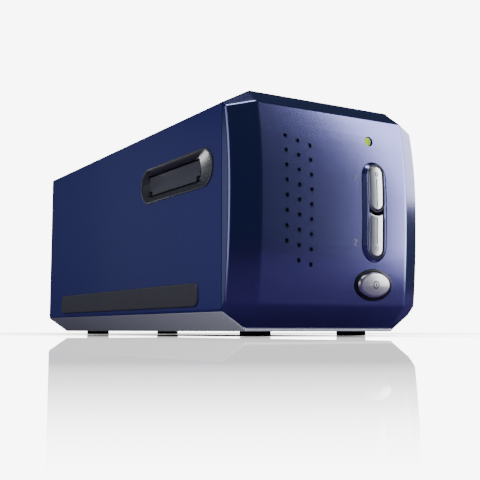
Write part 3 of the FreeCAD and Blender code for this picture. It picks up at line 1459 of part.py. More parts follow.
# Scan carriage and its optics

def scan_carriage():
    """A C that reaches round the film: lens and sensor below it, lamp above it."""
    body = new_body("CarriageBody")
    half = "carriage_half_width"
    inner = "(carriage_half_width - carriage_wall)"
    slab(body, "x", "-" + half, half, polygon([
        ("carriage_front_y", "carriage_low"), ("carriage_rear_y", "carriage_low"),
        ("carriage_rear_y", "carriage_high"), ("spine_rear_y", "carriage_high"),
        ("spine_rear_y", "lamp_arm_high"), ("lamp_arm_front_y", "lamp_arm_high"),
        ("lamp_arm_front_y", "lamp_arm_low"), ("spine_front_y", "lamp_arm_low"),
        ("spine_front_y", "carriage_high"), ("carriage_front_y", "carriage_high")]))
    front_bar = "(carriage_front_y + bearing_inset)"
    rear_bar = "(carriage_rear_y - bearing_inset - bearing_length)"
    for low in (front_bar, rear_bar):
        slab(body, "z", "bearing_low", "carriage_low",
             rectangle("-bearing_half_width", "bearing_half_width", low,
                       "(%s + bearing_length)" % low))
    flag = "(home_sensor_left_x + home_sensor_right_x) / 2"
    slab(body, "z", "flag_height", "(flag_height + flag_thickness)",
         rectangle("(%s - flag_width / 2)" % flag, "(%s + flag_width / 2)" % flag,
                   "carriage_rear_y", "(carriage_rear_y + flag_length)"))
    cut_slab(body, "z", CARRIAGE_FLOOR, "carriage_high",
             rectangle("-" + inner, inner, "(carriage_front_y + carriage_wall)", "spine_front_y"),
             rectangle("-" + inner, inner, "spine_rear_y", "(carriage_rear_y - carriage_wall)"))
    cut_slab(body, "y", "spine_front_y", "spine_rear_y",
             rectangle("-light_window_half_width", "light_window_half_width", CARRIAGE_FLOOR,
                       "light_window_high"))
    cut_slab(body, "z", "lamp_arm_low", LAMP_CEILING,
             rectangle("-" + inner, inner, "(lamp_arm_front_y + carriage_wall)",
                       "lamp_house_rear_y"))
    cut_slab(body, "y", "(spine_front_y + spine_wall)", "spine_rear_y",
             rectangle("-" + inner, inner, "(carriage_high + spine_wall)", LAMP_CEILING))
    cut_slab(body, "y", front_bar, "(%s + bearing_length)" % rear_bar,
             *[circle(x, "rod_height", "(rod_radius + running_gap)") for x in ("-rod_x", "rod_x")])
    node(body, "scan_carriage")


def lamp():
    node(box("LampBoard", "-lamp_board_half_width", "lamp_board_half_width",
             "film_gate_y - lamp_board_half_depth", "film_gate_y + lamp_board_half_depth",
             "%s - board_thickness" % LAMP_CEILING, LAMP_CEILING), "lamp_board")
    lights = []
    for middle in row_places("lamp_led_count", "lamp_led_pitch"):
        lights.append(box("LampLight", "%s - lamp_led_size / 2" % middle,
                          "%s + lamp_led_size / 2" % middle, "film_gate_y - lamp_led_size / 2",
                          "film_gate_y + lamp_led_size / 2",
                          "%s - board_thickness - lamp_led_height" % LAMP_CEILING,
                          "%s - board_thickness" % LAMP_CEILING))
    node(group("LampLights", *lights), "lamp_leds")
    inner = "(carriage_half_width - carriage_wall)"
    node(box("Diffuser", "-" + inner, inner, "lamp_arm_front_y + carriage_wall",
             "lamp_house_rear_y", "diffuser_low", "diffuser_low + diffuser_thickness"),
         "lamp_diffuser")


def mirror():
    """A mirror at 45 degrees below the film gate, on a wedge."""
    face = "(film_gate_y + optical_height)"
    back = "(%s - mirror_thickness * sqrt(2))" % face
    reach = "(mirror_length / 2 / sqrt(2))"
    high, low = "(optical_height + %s)" % reach, "(optical_height - %s)" % reach
    drop = "(mirror_thickness / sqrt(2))"
    glass = new_body("MirrorBody")
    slab(glass, "x", "-mirror_half_width", "mirror_half_width", polygon([
        ("(%s - %s)" % (face, low), low), ("(%s - %s)" % (face, high), high),
        ("(%s - %s - %s)" % (face, high, drop), "(%s - %s)" % (high, drop)),
        ("(%s - %s - %s)" % (face, low, drop), "(%s - %s)" % (low, drop))]))
    node(glass, "mirror")
    wedge = new_body("MirrorHolderBody")
    slab(wedge, "x", "-mirror_half_width", "mirror_half_width", polygon([
        ("mirror_holder_front_y", CARRIAGE_FLOOR), ("(%s - %s)" % (back, CARRIAGE_FLOOR),
                                                    CARRIAGE_FLOOR),
        ("(%s - mirror_holder_high)" % back, "mirror_holder_high"),
        ("mirror_holder_front_y", "mirror_holder_high")]))
    node(wedge, "mirror_holder")


def lens():
    rear = "(lens_front_y + lens_length)"
    barrel = new_body("BarrelBody")
    slab(barrel, "y", "lens_front_y", rear, circle("0", "optical_height", "lens_radius"),
         circle("0", "optical_height", "lens_bore"))
    node(barrel, "lens_barrel")
    radius = "(lens_bore - running_gap)"
    ball = "((%s ^ 2 + lens_bulge ^ 2) / (2 * lens_bulge))" % radius
    depth = "(lens_edge + lens_bulge)"
    elements = []
    for low, centre in (("(lens_front_y + lens_inset)", "(lens_front_y + lens_inset + %s)" % ball),
                        ("(%s - lens_inset - %s)" % (rear, depth),
                         "(%s - lens_inset - %s)" % (rear, ball))):
        disc = cylinder("LensDisc", "y", radius, low, "(%s + %s)" % (low, depth), "0",
                        "optical_height")
        dome = doc.addObject("Part::Sphere", "LensDome")
        bind(dome, "Radius", ball)
        bind(dome, "Placement.Base.y", centre)
        bind(dome, "Placement.Base.z", "optical_height")
        element = doc.addObject("Part::Common", "LensElement")
        element.Base = disc
        element.Tool = dome
        elements.append(element)
    node(group("LensElements", *elements), "lens_elements")
    clamp = new_body("LensClampBody")
    middle = "(lens_front_y + lens_length / 2)"
    low, high = "(%s - lens_block_length / 2)" % middle, "(%s + lens_block_length / 2)" % middle
    slab(clamp, "y", low, high,
         rectangle("-lens_block_half_width", "lens_block_half_width", CARRIAGE_FLOOR,
                   "lens_block_high"))
    cut_slab(clamp, "y", low, high,
             circle("0", "optical_height", "(lens_radius + running_gap)"))
    cut_slab(clamp, "y", low, high,
             rectangle("-clamp_slit / 2", "clamp_slit / 2", "optical_height", "lens_block_high"))
    node(clamp, "lens_clamp")


def sensor():
    node(box("SensorBoard", "-sensor_board_half_width", "sensor_board_half_width",
             "sensor_board_y", "sensor_board_y + board_thickness", CARRIAGE_FLOOR,
             "sensor_board_high"), "sensor_board")
    front = "(sensor_board_y - sensor_depth)"
    chip = box("SensorChip", "-sensor_half_width", "sensor_half_width", front, "sensor_board_y",
               "optical_height - sensor_half_height", "optical_height + sensor_half_height")
    inner_x = "(sensor_half_width - sensor_window_depth)"
    inner_z = "(sensor_half_height - sensor_window_depth)"
    window = box("SensorWindow", "-" + inner_x, inner_x, "%s - overrun" % front,
                 "%s + sensor_window_depth" % front, "optical_height - %s" % inner_z,
                 "optical_height + %s" % inner_z)
    node(minus("SensorFinished", chip, window), "image_sensor")


# Belt drive

BELT_HIGH = "(belt_low + belt_width)"
PULLEY_LOW = "(belt_low - pulley_side_gap - pulley_flange)"
PULLEY_HIGH = "(%s + pulley_side_gap + pulley_flange)" % BELT_HIGH
BELT_BORE = "(pulley_radius + running_gap)"
GEAR_HIGH = "(gear_low + gear_width)"


def belt_clamp():
    block = box("ClampBlock", "carriage_half_width", "clamp_right_x", "-clamp_half_length",
                "clamp_half_length", "clamp_low", "clamp_high")
    slot = box("ClampSlot", "%s - clamp_gap" % BELT_INNER_X,
               "%s + belt_thickness + clamp_gap" % BELT_INNER_X, "-clamp_half_length - overrun",
               "clamp_half_length + overrun", "belt_low - clamp_gap", "%s + clamp_gap" % BELT_HIGH)
    node(minus("Clamp", block, slot), "belt_clamp")


def belt_loop(radius):
    return oblong("belt_x", "idler_pulley_y", "belt_x", "drive_pulley_y", radius)


def belt():
    body = new_body("BeltBody")
    slab(body, "z", "belt_low", BELT_HIGH, belt_loop("(%s + belt_thickness)" % BELT_BORE))
    cut_slab(body, "z", "belt_low", BELT_HIGH, belt_loop(BELT_BORE))
    node(body, "timing_belt")


def pulley(label, y, hub_low):
    """A flanged belt wheel with a hub below it, bored for its axle."""
    body = new_body(label.title().replace("_", ""))
    slab(body, "z", hub_low, PULLEY_HIGH, circle("belt_x", y, "pulley_hub_radius"))
    slab(body, "z", PULLEY_LOW, PULLEY_HIGH, circle("belt_x", y, "pulley_radius"))
    for low, high in ((PULLEY_LOW, "(%s + pulley_flange)" % PULLEY_LOW),
                      ("(%s - pulley_flange)" % PULLEY_HIGH, PULLEY_HIGH)):
        slab(body, "z", low, high, circle("belt_x", y, "pulley_flange_radius"))
    cut_slab(body, "z", hub_low, PULLEY_HIGH,
             circle("belt_x", y, "(axle_radius + running_gap)"))
    node(body, label)


def toothed(name, y, teeth, bore, phase):
    """A spur wheel: a root disc and one straight-sided tooth, repeated round its axis."""
    body = new_body(name)
    pitch = "(gear_module * %s / 2)" % teeth
    root, tip = "(%s - tooth_root)" % pitch, "(%s + tooth_top)" % pitch
    half = "((pi * gear_module / 2 - tooth_backlash) / 2)"
    slab(body, "z", "gear_low", GEAR_HIGH, circle("0", "0", root))
    wide, narrow = "(%s + tooth_lean)" % half, "(%s - tooth_lean)" % half
    low = "(%s - tooth_root)" % root
    tooth = slab(body, "z", "gear_low", GEAR_HIGH,
                 polygon([(low, negative(wide)), (tip, negative(narrow)), (tip, narrow),
                          (low, wide)]))
    ring = body.newObject("PartDesign::PolarPattern", name + "_teeth")
    ring.Originals = [tooth]
    ring.Axis = (tooth.Profile[0], ["N_Axis"])
    ring.Angle = 360
    bind(ring, "Occurrences", teeth)
    body.Tip = ring
    doc.recompute()
    if bore:
        cut_slab(body, "z", "gear_low", GEAR_HIGH, circle("0", "0", bore))
    bind(body, "Placement.Base.x", "belt_x")
    bind(body, "Placement.Base.y", y)
    bind(body, "Placement.Rotation.Angle", phase)
    return body


def gears():
    wheel = toothed("GearBody", "drive_pulley_y", "gear_teeth", "(axle_radius + running_gap)", "90")
    node(wheel, "reduction_gear")
    small = toothed("PinionBody", MOTOR_Y, "pinion_teeth", "", "270 + 180 / pinion_teeth")
    shaft = cylinder("MotorShaft", "z", "motor_shaft_radius",
                     "(bracket_low - motor_collar - motor_collar)",
                     "(%s + motor_shaft_radius)" % GEAR_HIGH, "belt_x", MOTOR_Y)
    node(union("PinionOnShaft", small, shaft), "motor_pinion")


def axles():
    pins = []
    for y, low, seat in (("drive_pulley_y", "bracket_low", "(bracket_low + bracket_thickness)"),
                         ("idler_pulley_y", "(upright_height - idler_block_half)",
                          "upright_height")):
        pins.append(union("Axle", cylinder("AxlePin", "z", "axle_radius", low, "axle_high",
                                           "belt_x", y),
                          cylinder("AxleCollar", "z", "axle_collar_radius", seat,
                                   "%s + axle_collar" % seat, "belt_x", y),
                          cylinder("AxleHead", "z", "axle_collar_radius",
                                   "axle_high - axle_head", "axle_high", "belt_x", y)))
    node(group("Axles", *pins), "pulley_axles")


def motor():
    low = "(bracket_low - motor_length)"
    can = union("MotorCan", cylinder("MotorBody", "z", "motor_radius", low, "bracket_low",
                                     "belt_x", MOTOR_Y),
                cylinder("MotorCollar", "z", "motor_collar_radius", "bracket_low",
                         "bracket_low + motor_collar", "belt_x", MOTOR_Y))
    bore = cylinder("MotorBore", "z", "(motor_shaft_radius + running_gap)",
                    "(bracket_low - motor_collar - motor_collar)",
                    "bracket_low + motor_collar + overrun", "belt_x", MOTOR_Y)
    node(minus("Motor", can, bore), "stepper_motor")
    body = new_body("MotorBracketBody")
    left, right = "(belt_x - bracket_half_width)", "(belt_x + bracket_half_width)"
    top = "(bracket_low + bracket_thickness)"
    slab(body, "z", "bracket_low", top,
         rectangle(left, right, "bracket_front_y", "bracket_rear_y"))
    slab(body, "z", DECK, "bracket_low",
         *[circle(x, y, "bracket_post_radius")
           for x in ("(%s + bracket_post_radius)" % left, "(%s - bracket_post_radius)" % right)
           for y in ("(bracket_front_y + bracket_post_radius)",
                     "(bracket_rear_y - bracket_post_radius)")])
    cut_slab(body, "z", "bracket_low", top,
             circle("belt_x", "drive_pulley_y", "(axle_radius + running_gap)"),
             circle("belt_x", MOTOR_Y, "(motor_collar_radius + fit_gap)"))
    node(body, "motor_bracket")


def home_sensor():
    rear = "rear_upright_y + home_sensor_depth"
    high = "upright_height + home_sensor_height"
    block = box("SensorBlock", "home_sensor_left_x", "home_sensor_right_x", "rear_upright_y",
                rear, "upright_height", high)
    middle = "(flag_height + flag_thickness / 2)"
    slot = box("SensorSlot", "home_sensor_left_x + home_sensor_back",
               "home_sensor_right_x + overrun", "rear_upright_y - overrun", rear + " + overrun",
               "%s - home_sensor_slot / 2" % middle, "%s + home_sensor_slot / 2" % middle)
    node(minus("HomeSensor", block, slot), "home_sensor")


# Main board, sockets and flat cable

def main_board():
    body = new_body("MainBoardBody")
    slab(body, "z", "main_board_low", MAIN_BOARD_TOP, polygon([
        ("main_board_left_x", "main_board_front_y"), ("main_board_wing_x", "main_board_front_y"),
        ("main_board_wing_x", "main_board_wing_y"), ("main_board_right_x", "main_board_wing_y"),
        ("main_board_right_x", "main_board_rear_y"),
        ("main_board_left_x", "main_board_rear_y")]))
    cut_slab(body, "z", "main_board_low", MAIN_BOARD_TOP,
             *[circle(x, y, "(screw_radius + fit_gap)") for x, y in BOARD_POSTS])
    node(body, "main_board")
    pieces = []
    for name, y, size in (("Processor", "chip_y", "chip_size"),
                          ("MotorDriver", "driver_chip_y", "driver_chip_size")):
        pieces.append(box(name, "chip_x - %s / 2" % size, "chip_x + %s / 2" % size,
                          "%s - %s / 2" % (y, size), "%s + %s / 2" % (y, size), MAIN_BOARD_TOP,
                          "%s + chip_height" % MAIN_BOARD_TOP))
    for y in ("capacitor_y", "capacitor_y - capacitor_pitch"):
        pieces.append(cylinder("Capacitor", "z", "capacitor_radius", MAIN_BOARD_TOP,
                               "%s + capacitor_height" % MAIN_BOARD_TOP, "capacitor_x", y))
    node(group("BoardParts", *pieces), "main_board_parts")


def sockets():
    low = MAIN_BOARD_TOP
    front = "(%s - usb_length)" % PANEL_REAR_Y
    half = "usb_width / 2"
    high = "%s + usb_height" % low
    shell = box("SocketShell", "usb_x - " + half, "usb_x + " + half, front, PANEL_REAR_Y, low, high)
    mouth = box("SocketMouth", "usb_x - %s + usb_shell" % half, "usb_x + %s - usb_shell" % half,
                "%s - usb_depth" % PANEL_REAR_Y, "%s + overrun" % PANEL_REAR_Y,
                "%s + usb_shell" % low, "%s - usb_shell" % high)
    middle = "(%s + usb_height / 2)" % low
    tongue = box("SocketTongue", "usb_x - usb_tongue_width / 2", "usb_x + usb_tongue_width / 2",
                 front, "%s - usb_tongue_back" % PANEL_REAR_Y,
                 "%s - usb_tongue_height / 2" % middle, "%s + usb_tongue_height / 2" % middle)
    node(union("Socket", minus("SocketHollow", shell, mouth), tongue), "usb_socket")
    half = "jack_width / 2"
    middle = "(%s + jack_height / 2)" % low
    block = box("JackBlock", "jack_x - " + half, "jack_x + " + half,
                "%s - jack_length" % PANEL_FRONT_Y, PANEL_FRONT_Y, low, "%s + jack_height" % low)
    bore = cylinder("JackBore", "y", "jack_bore", "(%s - jack_depth)" % PANEL_FRONT_Y,
                    "(%s + overrun)" % PANEL_FRONT_Y, "jack_x", middle)
    pin = cylinder("JackPin", "y", "jack_pin_radius", "(%s - jack_length)" % PANEL_FRONT_Y,
                   "(%s - jack_pin_back)" % PANEL_FRONT_Y, "jack_x", middle)
    node(union("Jack", minus("JackHollow", block, bore), pin), "power_jack")


def ribbon():
    """Flat cable from the front board, down along the chassis and up to the main board."""
    half = "connector_width / 2"
    front_z = "ribbon_front_height - connector_height / 2"
    rear_y = "main_board_front_y + fit_gap"
    front = box("FrontConnector", "ribbon_centre_x - " + half, "ribbon_centre_x + " + half,
                BOARD_BACK_Y, "%s + connector_depth" % BOARD_BACK_Y, front_z,
                front_z + " + connector_height")
    rear = box("RearConnector", "ribbon_centre_x - " + half, "ribbon_centre_x + " + half,
               rear_y, rear_y + " + connector_depth", MAIN_BOARD_TOP,
               "%s + connector_height" % MAIN_BOARD_TOP)
    node(group("Connectors", front, rear), "ribbon_connectors")
    start = "(%s + connector_depth)" % BOARD_BACK_Y
    leave = "(chassis_front_y + upright_thickness)"
    path = [(start, "ribbon_front_height"), (leave, "ribbon_front_height"),
            ("(%s + ribbon_bend)" % leave, "ribbon_rest_height"),
            ("(main_board_front_y - 2 * ribbon_bend)", "ribbon_rest_height"),
            ("(main_board_front_y - ribbon_bend)", "ribbon_rear_height"),
            ("(%s)" % rear_y, "ribbon_rear_height")]
    under = [(y, "(%s - ribbon_thickness / 2)" % z) for y, z in path]
    over = [(y, "(%s + ribbon_thickness / 2)" % z) for y, z in reversed(path)]
    body = new_body("RibbonBody")
    slab(body, "x", "(ribbon_centre_x - ribbon_width / 2)", "(ribbon_centre_x + ribbon_width / 2)",
         polygon(under + over))
    node(body, "ribbon_cable")


def board_screws():
    """Identical screws of the front board and of the main board."""
    screws = []
    for x, z in front_post_places():
        screws.append(screw("y", BOARD_BACK_Y, x, z))
    for x, y in BOARD_POSTS:
        screws.append(screw("z", MAIN_BOARD_TOP, x, y))
    node(group("BoardScrews", *screws), "board_screws")


def screw(axis, seat, first, second):
    """A screw whose head sits at a place along an axis, with its shank towards the lower end."""
    head = cylinder("ScrewHead", axis, "screw_head_radius", seat, "(%s + screw_head_height)" % seat,
                    first, second)
    shank = cylinder("ScrewShank", axis, "screw_radius",
                     "(%s - board_thickness - board_screw_length + screw_tip_gap)" % seat,
                     seat, first, second)
    return union("Screw", head, shank)


fill_sheet()
top_cover()
base_tray()
rubber_feet()
case_screws()
for side, word in ((-1, "left"), (1, "right")):
    side_strip(side, word + "_side_strip")
    slot_bezel(side, word + "_slot_bezel")
    dust_door(side, word + "_dust_door")
    door_springs(side, word + "_door_springs")
rear_panel()
front_fascia()
button_plinth()
heights = button_heights()
scan_button("upper_scan_button", upper_button_outline, "(upper_button_low + groove_near_inset)",
            "(upper_button_high - groove_far_inset)", *heights["upper"])
scan_button("lower_scan_button", lower_button_outline, "(lower_button_low + groove_far_inset)",
            "(upper_button_low - button_joint_gap - groove_near_inset)", *heights["lower"])
power_button()
power_ring()
status_light()
front_board()
chassis()
rods()
film_guides()
scan_carriage()
lamp()
mirror()
lens()
sensor()
belt_clamp()
belt()
pulley("drive_pulley", "drive_pulley_y", GEAR_HIGH)
pulley("idler_pulley", "idler_pulley_y", "(upright_height + axle_collar + pulley_side_gap)")
gears()
axles()
motor()
home_sensor()
main_board()
sockets()
ribbon()
board_screws()
doc.recompute()


def check_and_write():
    """Stops on a failed object, then writes one file for each sub-part."""
    for item in doc.Objects:
        if "Invalid" in item.State or "Error" in item.State:
            raise RuntimeError("%s failed: %s" % (item.Name, item.State))
    os.makedirs("parts", exist_ok=True)
    for item in nodes:
        shape = item.Shape
        if shape.isNull() or not shape.isValid():
            raise RuntimeError("%s has no valid shape" % item.Label)
        shape.exportStep("parts/%s.step" % item.Label)
        print("%-24s solids %d volume %.1f" % (item.Label, len(shape.Solids), shape.Volume))


check_and_write()
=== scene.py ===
import json
import logging
import math
from dataclasses import dataclass, field
from enum import Enum
from functools import cached_property
from typing import Callable, Optional, Sequence, Tuple

import bmesh
import bpy
from mathutils import Matrix, Quaternion, Vector

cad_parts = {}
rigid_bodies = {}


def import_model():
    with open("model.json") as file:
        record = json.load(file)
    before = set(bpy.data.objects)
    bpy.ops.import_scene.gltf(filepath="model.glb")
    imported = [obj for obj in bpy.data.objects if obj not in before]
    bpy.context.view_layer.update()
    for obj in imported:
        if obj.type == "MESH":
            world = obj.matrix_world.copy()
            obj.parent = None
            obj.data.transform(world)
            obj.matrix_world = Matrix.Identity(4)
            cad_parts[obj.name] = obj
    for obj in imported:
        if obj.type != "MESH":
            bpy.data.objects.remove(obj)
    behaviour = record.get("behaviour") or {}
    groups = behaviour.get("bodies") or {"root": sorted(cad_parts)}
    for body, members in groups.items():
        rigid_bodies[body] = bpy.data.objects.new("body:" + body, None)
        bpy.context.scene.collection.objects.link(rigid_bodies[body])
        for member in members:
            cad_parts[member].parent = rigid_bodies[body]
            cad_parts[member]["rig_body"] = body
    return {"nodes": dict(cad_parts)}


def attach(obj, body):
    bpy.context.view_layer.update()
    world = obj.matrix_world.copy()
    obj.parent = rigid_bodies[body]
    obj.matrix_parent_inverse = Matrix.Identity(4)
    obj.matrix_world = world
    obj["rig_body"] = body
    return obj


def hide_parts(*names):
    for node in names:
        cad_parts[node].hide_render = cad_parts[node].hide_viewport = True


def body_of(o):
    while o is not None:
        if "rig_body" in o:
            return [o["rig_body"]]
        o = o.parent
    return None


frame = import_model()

LOG = logging.getLogger("film_scanner")
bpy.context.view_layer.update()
MM = 0.001

Colour = Tuple[float, float, float]


def linear(red: float, green: float, blue: float) -> Colour:
    """Turns a colour of 0 to 255 as seen on a screen into the linear values that shaders take.

    Args:
        red: Red on the screen.
        green: Green on the screen.
        blue: Blue on the screen.

    Returns:
        The linear colour.
    """
    def one(channel: float) -> float:
        """Converts one channel."""
        share = channel / 255
        return share / 12.92 if share <= 0.04045 else ((share + 0.055) / 1.055) ** 2.4
    return one(red), one(green), one(blue)


class Nodes:
    """A node tree, with short ways to add nodes and join them."""

    def __init__(self, tree: bpy.types.NodeTree) -> None:
        """Takes the tree to work on."""
        self.tree = tree

    def give(self, socket: bpy.types.NodeSocket, value: object) -> None:
        """Feeds an input.

        Args:
            socket: The input.
            value: Another node's output, a number or tuple, or a colour without alpha.
        """
        if isinstance(value, bpy.types.NodeSocket):
            self.tree.links.new(value, socket)
        else:
            socket.default_value = (*value, 1) if socket.type == "RGBA" else value

    def add(self, kind: str, **values: object) -> bpy.types.Node:
        """Adds a node.

        Args:
            kind: Blender's name for its type, without ShaderNode in front.
            values: Its properties, and its inputs with underscores for spaces.

        Returns:
            The node.
        """
        made = self.tree.nodes.new("ShaderNode" + kind)
        for word, value in values.items():
            if hasattr(made, word):
                setattr(made, word, value)
            else:
                self.give(made.inputs[word.replace("_", " ")], value)
        return made

    def place(self) -> bpy.types.NodeSocket:
        """Returns the object coordinates."""
        return self.add("TexCoord").outputs["Object"]

    def sum(self, operation: str, *values: object) -> bpy.types.NodeSocket:
        """Does one sum on sockets or numbers."""
        made = self.add("Math", operation=operation)
        for socket, value in zip(made.inputs, values):
            self.give(socket, value)
        return made.outputs[0]

    def spread(self, share: bpy.types.NodeSocket, low: float, high: float
               ) -> bpy.types.NodeSocket:
        """Maps a mask of 0 to 1 onto a range."""
        return self.add("MapRange", Value=share, To_Min=low, To_Max=high).outputs[0]

    def mix(self, share: bpy.types.NodeSocket, first: object, second: object
            ) -> bpy.types.NodeSocket:
        """Mixes two colours by a mask.

        Args:
            share: The mask.
            first: A colour or an output, seen where the mask is 0.
            second: A colour or an output, seen where the mask is 1.

        Returns:
            The mixed colour.
        """
        made = self.add("Mix", data_type="RGBA")
        colours = [socket for socket in made.inputs if socket.type == "RGBA"]
        for socket, value in zip((made.inputs[0], *colours), (share, first, second)):
            self.give(socket, value)
        return [socket for socket in made.outputs if socket.type == "RGBA"][0]

    def blend(self, *values: bpy.types.NodeSocket) -> bpy.types.NodeSocket:
        """Mixes two shaders by a mask, which comes first."""
        made = self.add("MixShader")
        for socket, value in zip(made.inputs, values):
            self.give(socket, value)
        return made.outputs[0]


class GroupKit:
    """Shader node groups that several materials share. Each is built once."""

    @staticmethod
    def _new(name: str, outputs: Sequence[str], **inputs: float
             ) -> Tuple[Nodes, bpy.types.Node, bpy.types.Node]:
        """Makes an empty group of number sockets.

        Args:
            name: Name of the group.
            outputs: Names of its outputs.
            inputs: Default of each input.

        Returns:
            The tree, its input node and its output node.
        """
        tree = bpy.data.node_groups.new(name, "ShaderNodeTree")
        for label, default in inputs.items():
            tree.interface.new_socket(name=label, in_out="INPUT",
                                      socket_type="NodeSocketFloat").default_value = default
        for label in outputs:
            tree.interface.new_socket(name=label, in_out="OUTPUT",
                                      socket_type="NodeSocketFloat")
        return Nodes(tree), tree.nodes.new("NodeGroupInput"), tree.nodes.new("NodeGroupOutput")

    @cached_property
    def grain(self) -> bpy.types.NodeTree:
        """Builds the moulded grain: a fine bump height and a soft tint mask."""
        nodes, entry, leave = self._new("moulded_grain", ("Height", "Tint"), Scale=900)
        where = nodes.place()
        fine = nodes.add("TexNoise", Vector=where, Scale=entry.outputs["Scale"], Detail=3)
        coarse = nodes.add("TexNoise", Vector=where, Scale=28, Detail=4)
        nodes.give(leave.inputs["Height"], fine.outputs["Fac"])
        nodes.give(leave.inputs["Tint"], coarse.outputs["Fac"])
        return nodes.tree

    @cached_property
    def flakes(self) -> bpy.types.NodeTree:
        """Builds the paint's metal flakes, a value for each flake."""
        nodes, entry, leave = self._new("paint_flakes", ("Sparkle",), Scale=4000)
        cells = nodes.add("TexVoronoi", feature="F1", Vector=nodes.place(),
                          Scale=entry.outputs["Scale"])
        shade = nodes.add("SeparateColor", Color=cells.outputs["Color"])
        nodes.give(leave.inputs["Sparkle"], shade.outputs["Red"])
        return nodes.tree

    @cached_property
    def dust(self) -> bpy.types.NodeTree:
        """Builds the dust mask: more on faces that look up, broken up by noise."""
        nodes, entry, leave = self._new("settled_dust", ("Mask",), Amount=0.05)
        parts = nodes.add("SeparateXYZ", Vector=nodes.add("NewGeometry").outputs["Normal"])
        upward = nodes.add("MapRange", Value=parts.outputs["Z"], From_Min=0.2, From_Max=1.0)
        patches = nodes.add("TexNoise", Vector=nodes.place(), Scale=60, Detail=6)
        both = nodes.sum("MULTIPLY", upward.outputs[0], patches.outputs["Fac"])
        nodes.give(leave.inputs["Mask"], nodes.sum("MULTIPLY", both, entry.outputs["Amount"]))
        return nodes.tree


GROUPS = GroupKit()
DUST_COLOUR = (0.5, 0.49, 0.47)


class Shader(Nodes):
    """One material's node tree round its Principled shader."""

    def __init__(self, name: str) -> None:
        """Starts a material.

        Args:
            name: Name of the material.
        """
        self.material = bpy.data.materials.new(name)
        self.material.use_nodes = True
        super().__init__(self.material.node_tree)
        self.surface = self.tree.nodes["Principled BSDF"]

    def set(self, **values: object) -> None:
        """Feeds the shader's own inputs. Underscores stand for spaces."""
        for word, value in values.items():
            self.give(self.surface.inputs[word.replace("_", " ")], value)

    def bump(self, height: bpy.types.NodeSocket, strength: float, distance: float) -> None:
        """Feeds a height to the shader's normal."""
        made = self.add("Bump", Strength=strength, Distance=distance, Height=height)
        self.set(Normal=made.outputs["Normal"])


@dataclass(frozen=True)
class PaintedDimpleShade:
    """Painted shade in the dimples: where they lie behind the fascia's curved front, in metres,
    and the dark colour painted into them.
    """

    face: float = -0.1338
    bulge: float = 0.073
    upper_bend: float = 0.5 / 0.208
    lower_bend: float = 0.5 / 0.490
    middle_x: float = -0.0235
    half_x: float = 0.0105
    middle_z: float = 0.0688
    half_z: float = 0.0345
    least: float = 0.00005
    most: float = 0.0003
    # the dark colour painted into the dimples as shade
    colour: Colour = (0.012, 0.014, 0.05)

    def paint_dimple_shade(self, shader: Shader, paint: bpy.types.NodeSocket) -> bpy.types.NodeSocket:
        """Paints shade into the dimples, which lie behind the curved front: the paint there is
        darkened as painted shade.

        Args:
            shader: The material's shader.
            paint: The paint's colour.

        Returns:
            The colour with painted shade in the dimples.
        """
        across, out, height = shader.add("SeparateXYZ", Vector=shader.place()).outputs
        rise = shader.sum("SUBTRACT", height, self.bulge)
        bend = shader.sum("MULTIPLY_ADD", shader.sum("GREATER_THAN", rise, 0),
                          self.upper_bend - self.lower_bend, self.lower_bend)
        bow = shader.sum("MULTIPLY", shader.sum("MULTIPLY", rise, rise), bend)
        depth = shader.sum("SUBTRACT", shader.sum("SUBTRACT", out, self.face), bow)
        inside = []
        for spot, centre, half in ((across, self.middle_x, self.half_x),
                                   (height, self.middle_z, self.half_z)):
            aside = shader.sum("ABSOLUTE", shader.sum("SUBTRACT", spot, centre))
            inside.append(shader.sum("LESS_THAN", aside, half))
        deep = shader.add("MapRange", Value=depth, From_Min=self.least, From_Max=self.most)
        share = shader.sum("MULTIPLY", shader.sum("MULTIPLY", *inside), deep.outputs[0])
        return shader.mix(share, paint, self.colour)


@dataclass(frozen=True)
class Paint:
    """Metallic paint over a moulded shell, under a satin clear coat."""

    name: str
    colour: Colour
    deep: Colour
    metallic: float = 0.75
    roughness: float = 0.32
    coat: float = 0.5
    coat_roughness: float = 0.12
    flake_scale: float = 5200
    grain_scale: float = 1400
    grain_depth: float = 0.004
    grain_rise: float = 0.04 * MM
    # painted shade for the dimples, for a paint that has them
    dimple_shade: Optional[PaintedDimpleShade] = None

    def build(self) -> bpy.types.Material:
        """Builds the material."""
        shader = Shader(self.name)
        flakes = shader.add("Group", node_tree=GROUPS.flakes, Scale=self.flake_scale)
        grain = shader.add("Group", node_tree=GROUPS.grain, Scale=self.grain_scale)
        colour = shader.mix(flakes.outputs["Sparkle"], self.deep, self.colour)
        # where the paint has dimples, painted shade darkens its colour there
        shader.set(Base_Color=self.dimple_shade.paint_dimple_shade(shader, colour) if self.dimple_shade else colour,
                   Metallic=self.metallic, Coat_Weight=self.coat,
                   Coat_Roughness=self.coat_roughness,
                   Roughness=shader.spread(grain.outputs["Tint"], self.roughness - 0.008,
                                           self.roughness + 0.01))
        shader.bump(grain.outputs["Height"], self.grain_depth, self.grain_rise)
        return shader.material


@dataclass(frozen=True)
class Plastic:
    """Moulded plastic with a fine grain, from gloss to matte."""

    name: str
    colour: Colour
    shade: Colour
    roughness: float = 0.5
    grain_scale: float = 1500
    grain_depth: float = 0.25
    grain_rise: float = 0.08 * MM
    dust: float = 0.0
    specular: float = 0.5

    def build(self) -> bpy.types.Material:
        """Builds the material."""
        shader = Shader(self.name)
        grain = shader.add("Group", node_tree=GROUPS.grain, Scale=self.grain_scale)
        colour = shader.mix(grain.outputs["Tint"], self.shade, self.colour)
        if self.dust:
            settled = shader.add("Group", node_tree=GROUPS.dust, Amount=self.dust)
            colour = shader.mix(settled.outputs["Mask"], colour, DUST_COLOUR)
        shader.set(Base_Color=colour, Specular_IOR_Level=self.specular,
                   Roughness=shader.spread(grain.outputs["Tint"], self.roughness - 0.05,
                                           self.roughness + 0.05))
        shader.bump(grain.outputs["Height"], self.grain_depth, self.grain_rise)
        return shader.material


